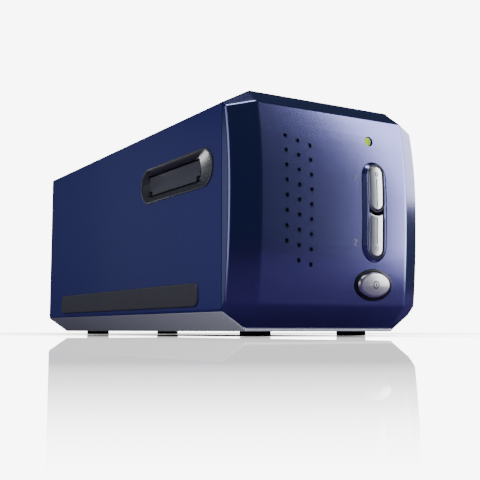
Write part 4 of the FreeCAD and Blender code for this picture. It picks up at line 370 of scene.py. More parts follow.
@dataclass(frozen=True)
class Metal:
    """Bare or plated metal with fine brush marks along one axis."""

    name: str
    colour: Colour
    roughness: float = 0.3
    stretch: Tuple[float, float, float] = (1, 1, 1)
    scale: float = 900
    mark_rise: float = 0.03 * MM

    def build(self) -> bpy.types.Material:
        """Builds the material."""
        shader = Shader(self.name)
        turned = shader.add("Mapping", Scale=self.stretch, Vector=shader.place())
        marks = shader.add("TexNoise", Scale=self.scale, Detail=3.0,
                           Vector=turned.outputs["Vector"]).outputs["Fac"]
        dark = tuple(channel * 0.8 for channel in self.colour)
        shader.set(Base_Color=shader.mix(marks, dark, self.colour), Metallic=1.0,
                   Roughness=shader.spread(marks, self.roughness * 0.75,
                                           self.roughness * 1.35))
        shader.bump(marks, 0.08, self.mark_rise)
        return shader.material


@dataclass(frozen=True)
class Glass:
    """Clear or tinted glass or lens plastic."""

    name: str
    colour: Colour
    roughness: float = 0.02
    transmission: float = 1.0

    def build(self) -> bpy.types.Material:
        """Builds the material."""
        shader = Shader(self.name)
        grain = shader.add("Group", node_tree=GROUPS.grain, Scale=300)
        pale = tuple(min(1.0, channel * 1.08) for channel in self.colour)
        shader.set(Base_Color=shader.mix(grain.outputs["Tint"], self.colour, pale),
                   Transmission_Weight=self.transmission, Roughness=self.roughness, IOR=1.5)
        return shader.material


@dataclass(frozen=True)
class GlowLensPaintedShade:
    """A small moulded lens lit from behind, whose +X side is painted darker as the shade of the
    well it sits in.
    """

    name: str
    bright: Colour
    # colour of the side painted darker as the well's shade
    dark: Colour
    centre_x: float
    reach: float
    glow: float = 0.9

    def build(self) -> bpy.types.Material:
        """Builds the material."""
        shader = Shader(self.name)
        parts = shader.add("SeparateXYZ", Vector=shader.place())
        # painted shade: the lens darkens towards +X, where its well shades it; the glow takes the
        # same colour
        across = shader.add("MapRange", interpolation_type="SMOOTHSTEP",
                            Value=parts.outputs["X"], From_Min=self.centre_x + self.reach,
                            From_Max=self.centre_x - self.reach * 0.3)
        colour = shader.mix(across.outputs[0], self.dark, self.bright)
        shader.set(Base_Color=colour, Emission_Color=colour, Emission_Strength=self.glow,
                   Roughness=0.12, Coat_Weight=0.5)
        return shader.material


@dataclass(frozen=True)
class Board:
    """A circuit board: green mask over copper tracks."""

    name: str
    mask: Colour = linear(16, 92, 52)
    track: Colour = linear(30, 122, 68)

    def build(self) -> bpy.types.Material:
        """Builds the material."""
        shader = Shader(self.name)
        bricks = shader.add("TexBrick", Vector=shader.place(), Scale=160.0, Mortar_Size=0.012,
                            Brick_Width=0.9, Row_Height=0.22, Color1=(0, 0, 0),
                            Color2=(0, 0, 0), Mortar=(1, 1, 1))
        shader.set(Base_Color=shader.mix(bricks.outputs["Color"], self.mask, self.track),
                   Roughness=0.3, Coat_Weight=0.4)
        shader.bump(bricks.outputs["Fac"], 0.2, 0.00003)
        return shader.material


NAVY = Paint("navy_paint", (0.115, 0.125, 0.54), (0.095, 0.104, 0.46), metallic=0.5,
             roughness=0.36, coat=0.2)
# the fascia's paint carries painted shade in its dimples
FACE_BLUE = Paint("fascia_paint", (0.25, 0.252, 0.58), (0.22, 0.222, 0.52), metallic=0.94,
                  roughness=0.17, coat=0.15, grain_depth=0.0008, dimple_shade=PaintedDimpleShade())
SILVER = Paint("silver_paint", linear(216, 220, 228), linear(200, 204, 212), metallic=0.25,
               roughness=0.4, coat=0.2)
BUTTON_SILVER = Paint("button_silver", linear(240, 242, 243), linear(228, 230, 233),
                      metallic=0.92, roughness=0.32, coat=0.3)
GUNMETAL = Plastic("gunmetal_plastic", linear(92, 93, 96), linear(80, 81, 84), roughness=0.26,
                   grain_depth=0.06)
DOOR_GREY = Plastic("door_plastic", linear(138, 140, 143), linear(124, 126, 129), roughness=0.4,
                    grain_depth=0.15)
STRIP_GREY = Plastic("strip_plastic", linear(120, 120, 123), linear(106, 106, 109), roughness=0.5,
                     grain_depth=0.4, grain_scale=2200)
RING_BLACK = Plastic("ring_plastic", linear(9, 12, 34), linear(7, 9, 27), roughness=0.22,
                     grain_depth=0.05)
RUBBER = Plastic("foot_rubber", linear(34, 34, 35), linear(26, 26, 27), roughness=0.85,
                 grain_depth=0.5, dust=0.2, specular=0.3)
BLACK = Plastic("black_moulding", linear(40, 40, 42), linear(32, 32, 34), roughness=0.6,
                grain_depth=0.4)
SWITCH_BLACK = Plastic("switch_black", linear(28, 28, 30), linear(22, 22, 24), roughness=0.4)
# black for the painted shade lines in the gaps round the scan buttons
GAP_SHADE_BLACK = Plastic("gap_shade_black", linear(14, 15, 26), linear(10, 11, 20), roughness=0.4,
                     grain_depth=0.1)
PRINT_WHITE = Plastic("print_ink", linear(206, 208, 216), linear(190, 192, 202), roughness=0.5,
                      grain_depth=0.02)
SIGN_GREY = Plastic("sign_ink", linear(38, 40, 44), linear(60, 64, 68), roughness=0.6,
                    grain_depth=0.1)
WHITE = Plastic("white_moulding", linear(226, 225, 218), linear(214, 212, 204), roughness=0.4)
ACETAL = Plastic("gear_acetal", linear(222, 216, 198), linear(206, 199, 180), roughness=0.45)
RIBBON_GREY = Plastic("ribbon_grey", linear(150, 152, 156), linear(134, 136, 140),
                      roughness=0.5)
BELT_BLACK = Plastic("belt_rubber", linear(30, 30, 32), linear(22, 22, 24), roughness=0.7,
                     grain_depth=0.6)
ZINC = Metal("zinc_steel", linear(186, 188, 190), 0.34)
SPRING_STEEL = Metal("spring_steel", linear(70, 70, 72), 0.3)
ROD_STEEL = Metal("rod_steel", linear(214, 216, 220), 0.12, stretch=(1, 0.05, 1))
CAN_STEEL = Metal("can_steel", linear(150, 152, 156), 0.4, stretch=(1, 1, 0.1))
TURNED = Metal("turned_aluminium", linear(204, 206, 208), 0.28, stretch=(0.1, 0.1, 1))
BRASS = Metal("turned_brass", linear(200, 164, 92), 0.3, stretch=(0.1, 0.1, 1))
MIRROR = Metal("mirror_silver", linear(236, 238, 240), 0.03)
LENS = Glass("lens_glass", linear(226, 238, 246))
# green lamp lens with a painted shaded side
LENS_GREEN = GlowLensPaintedShade("lamp_lens", linear(176, 226, 10), linear(30, 70, 8), 22.6 * MM, 2.3 * MM)
DIFFUSER = Glass("diffuser_milk", linear(238, 238, 232), roughness=0.55, transmission=0.5)
BOARD = Board("circuit_board")


class Dresser:
    """Gives finishes to pieces, building each material once."""

    def __init__(self) -> None:
        """Starts with no material built."""
        self._made: dict = {}

    def material(self, finish: object) -> bpy.types.Material:
        """Returns the material of a finish."""
        if finish not in self._made:
            self._made[finish] = finish.build()
        return self._made[finish]

    def dress(self, piece: bpy.types.Object, finish: object) -> None:
        """Replaces a piece's materials with one finish."""
        piece.data.materials.clear()
        piece.data.materials.append(self.material(finish))


DRESSER = Dresser()


def mesh_of(name: str, shape: bmesh.types.BMesh) -> bpy.types.Mesh:
    """Turns a bmesh into a mesh and frees it."""
    mesh = bpy.data.meshes.new(name)
    shape.to_mesh(mesh)
    shape.free()
    return mesh


def placed(name: str, data: bpy.types.ID) -> bpy.types.Object:
    """Makes an object of its data and puts it in the scene."""
    made = bpy.data.objects.new(name, data)
    bpy.context.scene.collection.objects.link(made)
    return made


def turn(shape: bmesh.types.BMesh, verts: Sequence[bmesh.types.BMVert], degrees: float,
         axis: str) -> None:
    """Turns vertices about an axis through the origin."""
    bmesh.ops.rotate(shape, verts=verts, cent=(0, 0, 0),
                     matrix=Matrix.Rotation(math.radians(degrees), 3, axis))


def cut(shape: bmesh.types.BMesh, place: float, way: Tuple[int, int, int],
        **more: bool) -> None:
    """Cuts a bmesh by a plane at a place in millimetres along a direction."""
    bmesh.ops.bisect_plane(shape, geom=shape.verts[:] + shape.edges[:] + shape.faces[:],
                           dist=1e-7, plane_co=Vector(way) * place * MM, plane_no=way, **more)


def body_under(node: str) -> str:
    """Returns the body that a CAD node rides on."""
    return body_of(frame["nodes"][node])[0]


def middle(edge: bmesh.types.BMEdge) -> Vector:
    """Returns the middle of an edge, in millimetres."""
    return (edge.verts[0].co + edge.verts[1].co) / 2 / MM


def bent(edge: bmesh.types.BMEdge, least: float) -> bool:
    """Tells whether an edge is convex and bends by at least so many degrees."""
    return edge.is_convex and edge.calc_face_angle(0.0) > math.radians(least)


def long_crease(edge: bmesh.types.BMEdge, least: float = 15, length: float = 40) -> bool:
    """Accepts a shell's outer creases, by their bend in degrees and length in millimetres."""
    return bent(edge, least) and edge.calc_length() > length * MM


class Builder:
    """Turns bmesh shapes into pieces that ride on a body."""

    WELD_REACH = 2e-6
    FLAT_ANGLE = 0.4
    AREA_WEIGHT = 60

    @staticmethod
    def finish(name: str, shape: bmesh.types.BMesh, body: str, finish: object, slot: str,
               smooth_angle: float = 35) -> bpy.types.Object:
        """Makes an object of a bmesh, dresses it and puts it on its body.

        Args:
            name: Name of the piece.
            shape: The bmesh, which is freed.
            body: The body that the piece rides on.
            finish: Its finish.
            slot: Its material slot in the record; not used.
            smooth_angle: Edges sharper than this many degrees stay sharp.

        Returns:
            The new object.
        """
        limit = math.radians(smooth_angle)
        for face in shape.faces:
            face.smooth = True
        for edge in shape.edges:
            edge.smooth = not (edge.is_manifold and edge.calc_face_angle(0.0) > limit)
        piece = placed(name, mesh_of(name, shape))
        DRESSER.dress(piece, finish)
        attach(piece, body)
        LOG.info("piece %s on %s: %d faces", name, body, len(piece.data.polygons))
        return piece

    @staticmethod
    def even(piece: bpy.types.Object) -> None:
        """Lets the largest faces lead the shading, so that flats and long curves look even."""
        shading = piece.modifiers.new("even_shading", "WEIGHTED_NORMAL")
        shading.mode = "FACE_AREA_WITH_ANGLE"
        shading.weight = Builder.AREA_WEIGHT
        shading.keep_sharp = True

    @staticmethod
    def add(whole: bmesh.types.BMesh, part: bmesh.types.BMesh) -> None:
        """Adds one bmesh to another and frees it."""
        mesh = mesh_of("part", part)
        whole.from_mesh(mesh)
        bpy.data.meshes.remove(mesh)

    @staticmethod
    def merged(node: str) -> bmesh.types.BMesh:
        """Copies a CAD node into a bmesh whose flat faces are whole again.

        Args:
            node: Name of the node.

        Returns:
            The merged bmesh.
        """
        shape = bmesh.new()
        shape.from_mesh(frame["nodes"][node].data)
        bmesh.ops.remove_doubles(shape, verts=shape.verts, dist=Builder.WELD_REACH)
        bmesh.ops.dissolve_limit(shape, angle_limit=math.radians(Builder.FLAT_ANGLE),
                                 verts=shape.verts, edges=shape.edges,
                                 use_dissolve_boundaries=False)
        return shape

    @staticmethod
    def round_edges(shape: bmesh.types.BMesh, wanted: Callable[[bmesh.types.BMEdge], bool],
                    width: float, segments: int = 3) -> None:
        """Rounds the edges that a test accepts.

        Args:
            shape: The bmesh to change.
            wanted: Accepts an edge.
            width: Width of the rounding in metres.
            segments: Faces across it.
        """
        edges = [edge for edge in shape.edges if edge.is_manifold and wanted(edge)]
        bmesh.ops.bevel(shape, geom=edges, offset=width, offset_type="OFFSET",
                        segments=segments, profile=0.5, affect="EDGES", clamp_overlap=False,
                        material=-1, loop_slide=True)

    @classmethod
    def stand_in(cls, node: str, name: str, finish: object, slot: str,
                 wanted: Optional[Callable[[bmesh.types.BMEdge], bool]] = None,
                 width: float = 0.0, segments: int = 3, smooth_angle: float = 35,
                 reshape: Optional[Callable[[bmesh.types.BMesh], None]] = None
                 ) -> bpy.types.Object:
        """Replaces a CAD node by a merged copy with rounded edges.

        Args:
            node: The node that is replaced.
            name: Name of the new piece.
            finish: Its finish.
            slot: Its material slot.
            wanted: Accepts the edges to round.
            width: Width of the rounding in metres.
            segments: Faces across it.
            smooth_angle: Edges sharper than this many degrees stay sharp.
            reshape: Changes the merged copy before its edges are rounded.

        Returns:
            The new piece.
        """
        shape = cls.merged(node)
        if reshape:
            reshape(shape)
        if wanted:
            cls.round_edges(shape, wanted, width, segments)
        piece = cls.finish(name, shape, body_under(node), finish, slot, smooth_angle)
        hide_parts(node)
        return piece


@dataclass
class Case:
    """The outer case: cover, faceted fascia, tray, strips and rear panel."""

    crease: float = 1.1 * MM
    fascia_crease: float = 1.0 * MM
    low_crease: float = 0.5 * MM
    foot_base: float = 0.1
    seam_y: float = -119.2
    control_x: float = 24.2
    control_reach: float = 14.5
    line_height: float = 4.3
    line_drop: float = 0.9
    line_reach: float = 0.12
    control_low: float = 16
    control_high: float = 106

    def build(self) -> None:
        """Makes and dresses the case."""
        for piece in (
                Builder.stand_in("top_cover", "cover_shell", NAVY, "cover", long_crease,
                                 self.crease, 4),
                Builder.stand_in("front_fascia", "fascia_shell", FACE_BLUE, "fascia",
                                 self._fascia_edge, self.fascia_crease, 4,
                                 reshape=self._lower_seam),
                Builder.stand_in("base_tray", "tray_shell", SILVER, "silver", long_crease,
                                 self.low_crease, 3, reshape=self._lower_seam)):
            Builder.even(piece)
        for side in ("left", "right"):
            Builder.stand_in("%s_side_strip" % side, "%s_strip" % side, STRIP_GREY,
                             "strip_grey")
        Builder.stand_in("rear_panel", "rear_wall", SILVER, "silver")
        Builder.stand_in("rubber_feet", "feet", RUBBER, "foot_rubber",
                         lambda edge: bent(edge, 60) and middle(edge).z < self.foot_base,
                         self.low_crease, 3)

    def _lower_seam(self, shape: bmesh.types.BMesh) -> None:
        """Brings the seam of fascia and tray down to the thin line that shows."""
        for vert in shape.verts:
            height = vert.co.z / MM
            if vert.co.y < self.seam_y * MM and abs(height - self.line_height) < self.line_reach:
                vert.co.z -= self.line_drop * MM

    def _fascia_edge(self, edge: bmesh.types.BMEdge) -> bool:
        """Accepts the fascia's outer creases, away from the controls."""
        spot = middle(edge)
        near_controls = (abs(spot.x - self.control_x) < self.control_reach
                         and self.control_low < spot.z < self.control_high)
        return (bent(edge, 7) and edge.calc_length() > 1.5 * MM and not near_controls
                and spot.y < self.seam_y + 0.01)


@dataclass
class FilmSlots:
    """The framed film slot and its dust door in each side."""

    coil_radius: float = 1.08
    wire_radius: float = 0.2
    coil_turns: int = 6
    turn_steps: int = 20
    coil_length: float = 2.5
    coil_x: float = 57.2
    coil_height: float = 80.4
    coil_places: Tuple[float, float] = (-33.8, -90.5)
    door_edge: float = 2 * MM
    door_rounding: float = 0.25 * MM

    def build(self) -> None:
        """Makes and dresses both slots."""
        for side, sign in (("left", -1), ("right", 1)):
            Builder.stand_in("%s_slot_bezel" % side, "%s_slot_frame" % side, GUNMETAL,
                             "gunmetal", smooth_angle=50)
            Builder.stand_in("%s_dust_door" % side, "%s_door_flap" % side, DOOR_GREY,
                             "gunmetal", lambda edge: bent(edge, 60)
                             and edge.calc_length() > self.door_edge, self.door_rounding, 2)
            self._springs(side, sign)

    def _springs(self, side: str, sign: int) -> None:
        """Winds the two wire springs of one door.

        Args:
            side: Name of the side.
            sign: -1 for the left side and 1 for the right.
        """
        whole = bmesh.new()
        for place in self.coil_places:
            coil = bmesh.new()
            bmesh.ops.create_circle(coil, segments=8, radius=self.wire_radius * MM)
            bmesh.ops.translate(coil, verts=coil.verts, vec=(self.coil_radius * MM, 0, 0))
            turn(coil, coil.verts, 90, "X")
            steps = self.turn_steps * self.coil_turns
            bmesh.ops.spin(coil, geom=coil.verts[:] + coil.edges[:], cent=(0, 0, 0),
                           axis=(0, 0, 1), dvec=(0, 0, self.coil_length * MM / steps),
                           angle=math.tau * self.coil_turns, steps=steps, use_merge=False)
            bmesh.ops.edgeloop_fill(
                coil, edges=[edge for edge in coil.edges if edge.is_boundary])
            bmesh.ops.recalc_face_normals(coil, faces=coil.faces)
            turn(coil, coil.verts, 90, "X")
            bmesh.ops.translate(coil, verts=coil.verts,
                                vec=(sign * self.coil_x * MM, place * MM,
                                     self.coil_height * MM))
            Builder.add(whole, coil)
        node = "%s_door_springs" % side
        piece = Builder.finish("%s_wire_springs" % side, whole, body_under(node),
                               SPRING_STEEL, "spring_steel", 80)
        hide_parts(node)


class Glyph(Enum):
    """The small signs on the control caps."""

    RING = "ring"
    SQUARE = "square"
    STANDBY = "standby"


@dataclass
class Controls:
    """The buttons on the fascia, their surrounds, the painted shade lines round the scan buttons
    and the status light.
    """

    centre_x: float = 24.2
    face_y: float = -133.8
    bulge_height: float = 73
    upper_radius: float = 208
    lower_radius: float = 490
    button_proud: float = 2.2
    button_half: float = 4.6
    button_crown: float = 0.55
    cap_skin: float = 0.4
    upper_low: float = 64.9
    upper_high: float = 88.3
    lower_low: float = 40.6
    lower_high: float = 64.1
    # the painted shade lines round the scan buttons
    shade_line_gap: float = 0.3
    shade_line_width: float = 0.6
    plinth_proud: float = 1.7
    power_height: float = 26.2
    power_half_width: float = 10.4
    power_half_rise: float = 6.7
    power_proud: float = 2.6
    power_crown: float = 0.85
    sign_thickness: float = 0.03
    sign_line: float = 0.5
    number_size: float = 4.8
    number_x: float = 11.6
    number_inset: float = 7
    sign_inset: float = 4.4
    scan_sign: float = 1.15
    standby_sign: float = 2.0
    shade_line_stop: float = 3.2
    shade_line_skin: float = 0.06
    shade_line_height: float = 0.1
    shade_line_step: int = 3
    dot_radius: float = 0.2
    cuts_across: Tuple[float, ...] = (0.1, 0.3, 0.5, 0.7, 0.86)
    cuts_up: Tuple[float, ...] = (0.15, 0.4, 0.65, 0.85)

    def build(self) -> None:
        """Makes and dresses the controls."""
        plinth = Builder.stand_in("button_plinth", "button_frame", FACE_BLUE, "fascia")
        Builder.even(plinth)
        for node in ("upper_scan_button", "lower_scan_button"):
            self._cap(node, self.button_half, 0, 0, self.button_crown)
        self._cap("power_button", self.power_half_width, self.power_half_rise,
                  self.power_height, self.power_crown)
        Builder.stand_in("power_ring", "power_surround", RING_BLACK, "dark_ring")
        Builder.stand_in("status_lens", "lamp_window", LENS_GREEN, "green_lens")
        # black lines on the plinth round the scan buttons are painted shade of their gaps
        self._gap_shade_line("upper_button_trim", self.upper_low, self.upper_high, None)
        self._gap_shade_line("lower_button_trim", self.lower_low, self.upper_high,
                   self.lower_high - self.shade_line_stop)
        self._sign("upper_sign", Glyph.RING, "upper_scan_button",
                   self.upper_high - self.sign_inset, self.scan_sign)
        self._sign("lower_sign", Glyph.SQUARE, "lower_scan_button",
                   self.lower_low + self.sign_inset, self.scan_sign)
        self._number("upper_number", "1", self.upper_high - self.number_inset)
        self._number("lower_number", "2", self.lower_low + self.number_inset)
        self._sign("standby_sign", Glyph.STANDBY, "power_button", self.power_height,
                   self.standby_sign)

    def front_y(self, height: float, proud: float) -> float:
        """The Y of the curved front at a height, moved out by proud, all in millimetres."""
        radius = self.lower_radius if height < self.bulge_height else self.upper_radius
        rise = height - self.bulge_height
        return self.face_y + radius - math.sqrt((radius + proud) ** 2 - rise ** 2)

    def _cap(self, node: str, half_width: float, half_rise: float, middle_height: float,
             crown: float) -> None:
        """Replaces a control cap by a copy whose front is crowned.

        Args:
            node: The CAD node.
            half_width: Half of the cap's width.
            half_rise: Half of its height, or 0 where it is crowned across only.
            middle_height: Height of its middle.
            crown: How far the crown falls off to the edge.
        """
        shape = Builder.merged(node)
        for share in self._both_ways(self.cuts_across):
            cut(shape, self.centre_x + half_width * share, (1, 0, 0))
        if half_rise:
            for share in self._both_ways(self.cuts_up):
                cut(shape, middle_height + half_rise * share, (0, 0, 1))
        for vert in shape.verts:
            spot = vert.co / MM
            if spot.y > self.front_y(spot.z, -self.cap_skin):
                continue
            share = ((spot.x - self.centre_x) / half_width) ** 2
            if half_rise:
                share += ((spot.z - middle_height) / half_rise) ** 2
            vert.co.y += min(share, 1.0) * crown * MM
        piece = Builder.finish(node + "_cap", shape, body_under(node), BUTTON_SILVER,
                               "button_silver", 30)
        Builder.even(piece)
        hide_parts(node)

    @staticmethod
    def _both_ways(shares: Sequence[float]) -> list:
        """Returns the shares below the middle and above it, in rising order."""
        return [-share for share in reversed(shares)] + list(shares)

    def _stadium(self, shape: bmesh.types.BMesh, half: float, low: float, high: float) -> list:
        """Draws a long round-ended outline.

        Args:
            shape: The bmesh to draw in.
            half: Half of its width.
            low: Its lowest height.
            high: Its highest height.

        Returns:
            Its edges.
        """
        verts = bmesh.ops.create_circle(shape, cap_ends=False, segments=48,
                                        radius=half * MM)["verts"]
        turn(shape, verts, 90, "X")
        upper = [vert for vert in verts if vert.co.z > 1e-6]
        lower = [vert for vert in verts if vert.co.z <= 1e-6]
        bmesh.ops.translate(shape, verts=upper, vec=(self.centre_x * MM, 0, (high - half) * MM))
        bmesh.ops.translate(shape, verts=lower, vec=(self.centre_x * MM, 0, (low + half) * MM))
        return list({edge for vert in verts for edge in vert.link_edges})

    def _gap_shade_line(self, name: str, low: float, high: float, stop: Optional[float]) -> None:
        """Lays a black line round a scan button: painted shade of the gap between the button and
        the plinth.

        Args:
            name: Name of the piece.
            low: Lowest height of the button.
            high: Highest height of the outline.
            stop: Height above which the line ends, or nothing for a closed line.
        """
        shape = bmesh.new()
        gap, width = self.shade_line_gap, self.shade_line_width
        inner = self._stadium(shape, self.button_half + gap, low - gap, high + gap)
        outer = self._stadium(shape, self.button_half + gap + width, low - gap - width,
                              high + gap + width)
        bmesh.ops.bridge_loops(shape, edges=inner + outer)
        for height in range(int(low), int(high), self.shade_line_step):
            cut(shape, height, (0, 0, 1))
        if stop:
            cut(shape, stop, (0, 0, 1), clear_outer=True)
        bmesh.ops.solidify(shape, geom=shape.faces[:], thickness=self.shade_line_height * MM)
        for vert in shape.verts:
            over = self.shade_line_skin if abs(vert.co.y) < 1e-6 else -self.shade_line_skin
            vert.co.y = self.front_y(vert.co.z / MM, self.plinth_proud + over) * MM
        bmesh.ops.recalc_face_normals(shape, faces=shape.faces)
        Builder.finish(name, shape, body_under("button_plinth"), GAP_SHADE_BLACK, "dark_ring")

    def _number(self, name: str, word: str, height: float) -> None:
        """Prints a plain number on the fascia beside a scan button.

        Args:
            name: Name of the new piece.
            word: The number.
            height: Height of its middle.
        """
        line = bpy.data.curves.new(name, "FONT")
        line.body = word
        line.size = self.number_size * MM
        line.align_x, line.align_y = "CENTER", "CENTER"
        line.extrude = self.sign_thickness * MM
        drawn = placed(name, line)
        mesh = bpy.data.meshes.new_from_object(drawn.evaluated_get(
            bpy.context.evaluated_depsgraph_get()))
        bpy.data.objects.remove(drawn)
        shape = bmesh.new()
        shape.from_mesh(mesh)
        bpy.data.meshes.remove(mesh)
        bmesh.ops.remove_doubles(shape, verts=shape.verts[:], dist=1e-7)
        for vert in shape.verts:
            rise = height + vert.co.y / MM
            out = self.front_y(rise, self.sign_thickness + vert.co.z / MM)
            vert.co = Vector((self.number_x + vert.co.x / MM, out, rise)) * MM
        Builder.finish(name, shape, body_under("front_fascia"), PRINT_WHITE, "white_plastic",
                       30)

    def _sign(self, name: str, glyph: Glyph, node: str, height: float, size: float) -> None:
        """Prints one small sign on a cap.

        Args:
            name: Name of the piece.
            glyph: Which sign.
            node: The cap that it rides with.
            height: Height of its middle.
            size: Half of its height.
        """
        shape = bmesh.new()
        segments = 4 if glyph is Glyph.SQUARE else 32
        half = size * (1.2 if glyph is Glyph.SQUARE else 1.0)
        loops = [bmesh.ops.create_circle(shape, segments=segments, radius=radius * MM)["verts"]
                 for radius in (half, half - self.sign_line)]
        edges = list({edge for verts in loops for vert in verts for edge in vert.link_edges})
        bmesh.ops.bridge_loops(shape, edges=edges)
        if glyph is Glyph.SQUARE:
            turn(shape, shape.verts, 45, "Z")
        if glyph is Glyph.STANDBY:
            bar = bmesh.ops.create_grid(shape, x_segments=1, y_segments=3, size=1)["verts"]
            bmesh.ops.scale(shape, verts=bar, vec=(self.sign_line * 0.5 * MM,
                                                   size * 0.45 * MM, 1))
        else:
            bmesh.ops.create_circle(shape, cap_ends=True, segments=12,
                                    radius=self.dot_radius * MM)
        turn(shape, shape.verts, 90, "X")
        proud = self.power_proud if glyph is Glyph.STANDBY else self.button_proud
        for vert in shape.verts:
            across = vert.co.x / MM
            up = vert.co.z / MM
            vert.co.x = (self.centre_x + across) * MM
            vert.co.z = (height + up) * MM
            if glyph is Glyph.STANDBY:
                fall = self.power_crown * ((across / self.power_half_width) ** 2
                                           + (up / self.power_half_rise) ** 2)
            else:
                fall = self.button_crown * (across / self.button_half) ** 2
            vert.co.y = (self.front_y(height + up, proud) + fall - self.sign_thickness) * MM
        bmesh.ops.recalc_face_normals(shape, faces=shape.faces)
        Builder.finish(name, shape, body_under(node), SIGN_GREY, "dark_ring")


@dataclass
class Inside:
    """What the case holds, dressed by its finishes."""

    finishes: dict = field(default_factory=lambda: {
        "case_screws": ZINC, "status_led": WHITE, "front_board": BOARD,
        "button_switches": SWITCH_BLACK, "upper_switch_plunger": BLACK,
        "lower_switch_plunger": BLACK, "power_switch_plunger": BLACK, "chassis": BLACK,
        "guide_rods": ROD_STEEL, "rod_clips": ZINC, "lower_film_guide": BLACK,
        "upper_film_guide": BLACK, "scan_carriage": BLACK, "lamp_board": BOARD,
        "lamp_leds": WHITE, "lamp_diffuser": DIFFUSER, "mirror": MIRROR,
        "mirror_holder": BLACK, "lens_barrel": BLACK, "lens_elements": LENS,
        "lens_clamp": BLACK, "sensor_board": BOARD, "image_sensor": SWITCH_BLACK,
        "belt_clamp": BLACK, "timing_belt": BELT_BLACK, "drive_pulley": TURNED,
        "idler_pulley": TURNED, "reduction_gear": ACETAL, "motor_pinion": BRASS,
        "pulley_axles": ROD_STEEL, "stepper_motor": CAN_STEEL, "motor_bracket": ZINC,
        "home_sensor": SWITCH_BLACK, "main_board": BOARD, "main_board_parts": SWITCH_BLACK,
        "usb_socket": ZINC, "power_jack": BLACK, "ribbon_connectors": WHITE,
        "ribbon_cable": RIBBON_GREY, "board_screws": ZINC})

    def build(self) -> None:
        """Dresses each inner node."""
        for node, finish in self.finishes.items():
            DRESSER.dress(frame["nodes"][node], finish)
            LOG.info("node %s dressed", node)


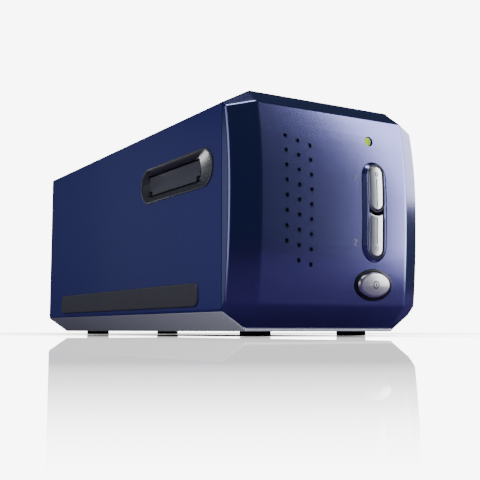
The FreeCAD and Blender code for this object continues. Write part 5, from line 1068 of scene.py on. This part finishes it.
@dataclass
class Studio:
    """The floor, the lights and the camera."""

    camera_place: Tuple[float, float, float] = (-258.94, -466.59, 2.76)
    yaw: float = 31.121
    pitch: float = 6.196
    focal_pixels: float = 833.42
    frame_pixels: float = 480
    white: float = 8.0
    # a painted shadow on the floor: its middle, its reach and its darkest level
    shadow_place: Tuple[float, float, float] = (0.2, 0.34, 0)
    shadow_reach: float = 0.5
    shadow_level: float = 0.12
    ambient: float = 0.06
    floor_radius: float = 6
    floor_drop: float = 0.0002
    contact_shade_reach: float = 0.09
    contact_shade_power: float = 3
    sky: Colour = (0.3, 0.52, 1)
    dim: Colour = (0.115, 0.082, 0.21)
    fade: Tuple[Tuple[float, float], ...] = (
        (0.0, 0.875), (0.455, 0.875), (0.487, 0.72), (0.50, 0.55), (0.508, 0.3), (0.516, 0.0))

    def build(self) -> None:
        """Sets the stage."""
        self._camera()
        self._world()
        self._floor()
        self._lights()

    def _camera(self) -> None:
        """Puts the camera where the photograph was taken from."""
        lens = bpy.data.cameras.new("view")
        lens.sensor_width = 36
        lens.lens = self.focal_pixels / self.frame_pixels * lens.sensor_width
        lens.clip_start = 0.001
        lens.clip_end = 20
        camera = placed("view", lens)
        camera.location = Vector(self.camera_place) * MM
        camera.rotation_euler = (math.radians(90 + self.pitch), 0, -math.radians(self.yaw))
        bpy.context.scene.camera = camera

    def _world(self) -> None:
        """Gives a background that is white to the camera and lights the object only dimly."""
        world = bpy.data.worlds.new("studio")
        world.use_nodes = True
        nodes = Nodes(world.node_tree)
        nodes.tree.nodes.clear()
        seen = nodes.add("Background", Color=(1, 1, 1), Strength=self.white)
        soft = nodes.add("Background", Color=self.sky, Strength=self.ambient)
        path = nodes.add("LightPath").outputs
        direct = nodes.sum("MAXIMUM", path["Is Camera Ray"], path["Is Singular Ray"])
        nodes.add("OutputWorld", Surface=nodes.blend(direct, soft.outputs[0], seen.outputs[0]))
        bpy.context.scene.world = world

    def _floor(self) -> None:
        """Lays a white floor that mirrors the object faintly near it, with painted shade under it
        and a painted shadow behind it.
        """
        shape = bmesh.new()
        bmesh.ops.create_circle(shape, cap_ends=True, segments=96, radius=self.floor_radius)
        floor = placed("floor", mesh_of("floor", shape))
        floor.location = (0, 0, -self.floor_drop)
        floor.data.materials.append(self._floor_finish())

    def _floor_finish(self) -> bpy.types.Material:
        """Builds the floor: white with a faint mirror to the camera, dim to every other ray. Its
        white and its mirror are darkened as painted shade near the object and as a painted shadow
        behind it to the right.

        Returns:
            The material.
        """
        shader = Shader("floor_white")
        fade = shader.add("ValToRGB", Fac=self._away(shader, (0, 0, 0)))
        ramp = fade.color_ramp.elements
        while len(ramp) < len(self.fade):
            ramp.new(0.5)
        for stop, (place, share) in zip(ramp, self.fade):
            stop.position = place
            stop.color = (share, share, share, 1)
        # painted contact shade: the floor's white and mirror darken where the object is near, by
        # ambient occlusion
        near = shader.add("AmbientOcclusion", samples=8,
                          Distance=self.contact_shade_reach).outputs["AO"]
        # painted shadow: a soft dark patch on the floor behind the object to the right
        painted_floor_shadow = shader.add("MapRange", interpolation_type="SMOOTHSTEP",
                          Value=self._away(shader, self.shadow_place),
                          From_Max=self.shadow_reach, To_Min=self.shadow_level).outputs[0]
        shade = shader.sum("MULTIPLY", shader.sum("POWER", near, self.contact_shade_power), painted_floor_shadow)
        white = shader.add("Emission", Strength=shader.sum("MULTIPLY", shade, self.white))
        mirror = shader.add("BsdfGlossy", Roughness=0.0,
                            Color=shader.sum("MULTIPLY", near, painted_floor_shadow))
        dim = shader.add("BsdfDiffuse", Color=self.dim)
        seen = shader.blend(fade.outputs["Color"], white.outputs[0], mirror.outputs[0])
        whole = shader.blend(shader.add("LightPath").outputs["Is Camera Ray"],
                             dim.outputs[0], seen)
        shader.give(shader.tree.nodes["Material Output"].inputs["Surface"], whole)
        return shader.material

    @staticmethod
    def _away(shader: Shader, place: Tuple[float, float, float]) -> bpy.types.NodeSocket:
        """Returns how far the floor's spot is from a place."""
        made = shader.add("VectorMath", operation="DISTANCE", Vector=shader.place())
        shader.give(made.inputs[1], place)
        return made.outputs["Value"]

    def _lights(self) -> None:
        """Hangs the softboxes."""
        self._softbox("key_box", (0.96, -0.62, 0.37), (0, -0.13, 0.06), (0.74, 1.0), 11.8, -7)
        self._softbox("rim_box", (1.3, 0.3, 0.45), (0, -0.1, 0.07), (0.7, 0.36), 2.5)
        self._softbox("top_box", (-0.1, -0.1, 1.2), (0, 0, 0), (0.6, 0.5), 4.6)
        self._softbox("left_box", (-1.18, -0.31, 0.3), (-0.06, -0.05, 0.05), (1.2, 0.8), 3.0)
        self._softbox("rear_box", (-0.75, 1.1, 0.25), (-0.06, -0.12, 0.08), (0.5, 0.4), 0.13)
        self._softbox("slot_box", (-0.26, 0.885, 0.12), (-0.06, -0.1, 0.085), (0.24, 0.2), 1.3)
        self._softbox("tray_box", (-0.3, -0.3, 0.01), (-0.06, -0.1, 0.01), (0.2, 0.03), 0.8)

    def single_out(self) -> None:
        """Lets two of the softboxes light only the pieces that they are meant for."""
        for light, piece in (("slot_box", "left_slot_frame"), ("tray_box", "tray_shell")):
            lit = bpy.data.collections.new("%s_pieces" % light)
            lit.objects.link(bpy.data.objects[piece])
            bpy.data.objects[light].light_linking.receiver_collection = lit

    def _softbox(self, name: str, place: Tuple[float, float, float],
                 aim: Tuple[float, float, float], size: Tuple[float, float],
                 power: float, roll: float = 0) -> None:
        """Hangs one rectangular light.

        Args:
            name: Name of the light.
            place: Where it hangs, in metres.
            aim: What it points at.
            size: Its width and height.
            power: Its power in watts.
            roll: How far it is turned about its own axis, in degrees.
        """
        data = bpy.data.lights.new(name, "AREA")
        data.shape = "RECTANGLE"
        data.size, data.size_y = size
        data.energy = power
        light = placed(name, data)
        light.location = place
        light.visible_camera = False
        self._hide_in_mirrors(data)
        aimed = (Vector(aim) - Vector(place)).to_track_quat("-Z", "Y")
        turned = aimed @ Quaternion((0, 0, 1), math.radians(roll))
        light.rotation_euler = turned.to_euler()

    def _hide_in_mirrors(self, light: bpy.types.Light) -> None:
        """Lets a sharp mirror see the background's white in place of a light."""
        light.use_nodes = True
        nodes = Nodes(light.node_tree)
        white = self.white * math.pi * light.size * light.size_y / light.energy
        level = nodes.sum("MULTIPLY_ADD", nodes.add("LightPath").outputs["Is Singular Ray"],
                          white - 1, 1)
        nodes.give(nodes.tree.nodes["Emission"].inputs["Strength"], level)


def main() -> None:
    """Builds the scene, part by part."""
    logging.basicConfig(level=logging.INFO, format="%(name)s: %(message)s")
    studio = Studio()
    studio.build()
    for part in (Case(), FilmSlots(), Controls(), Inside()):
        part.build()
        LOG.info("%s done", type(part).__name__)
    studio.single_out()


if __name__ == "__main__":
    main()
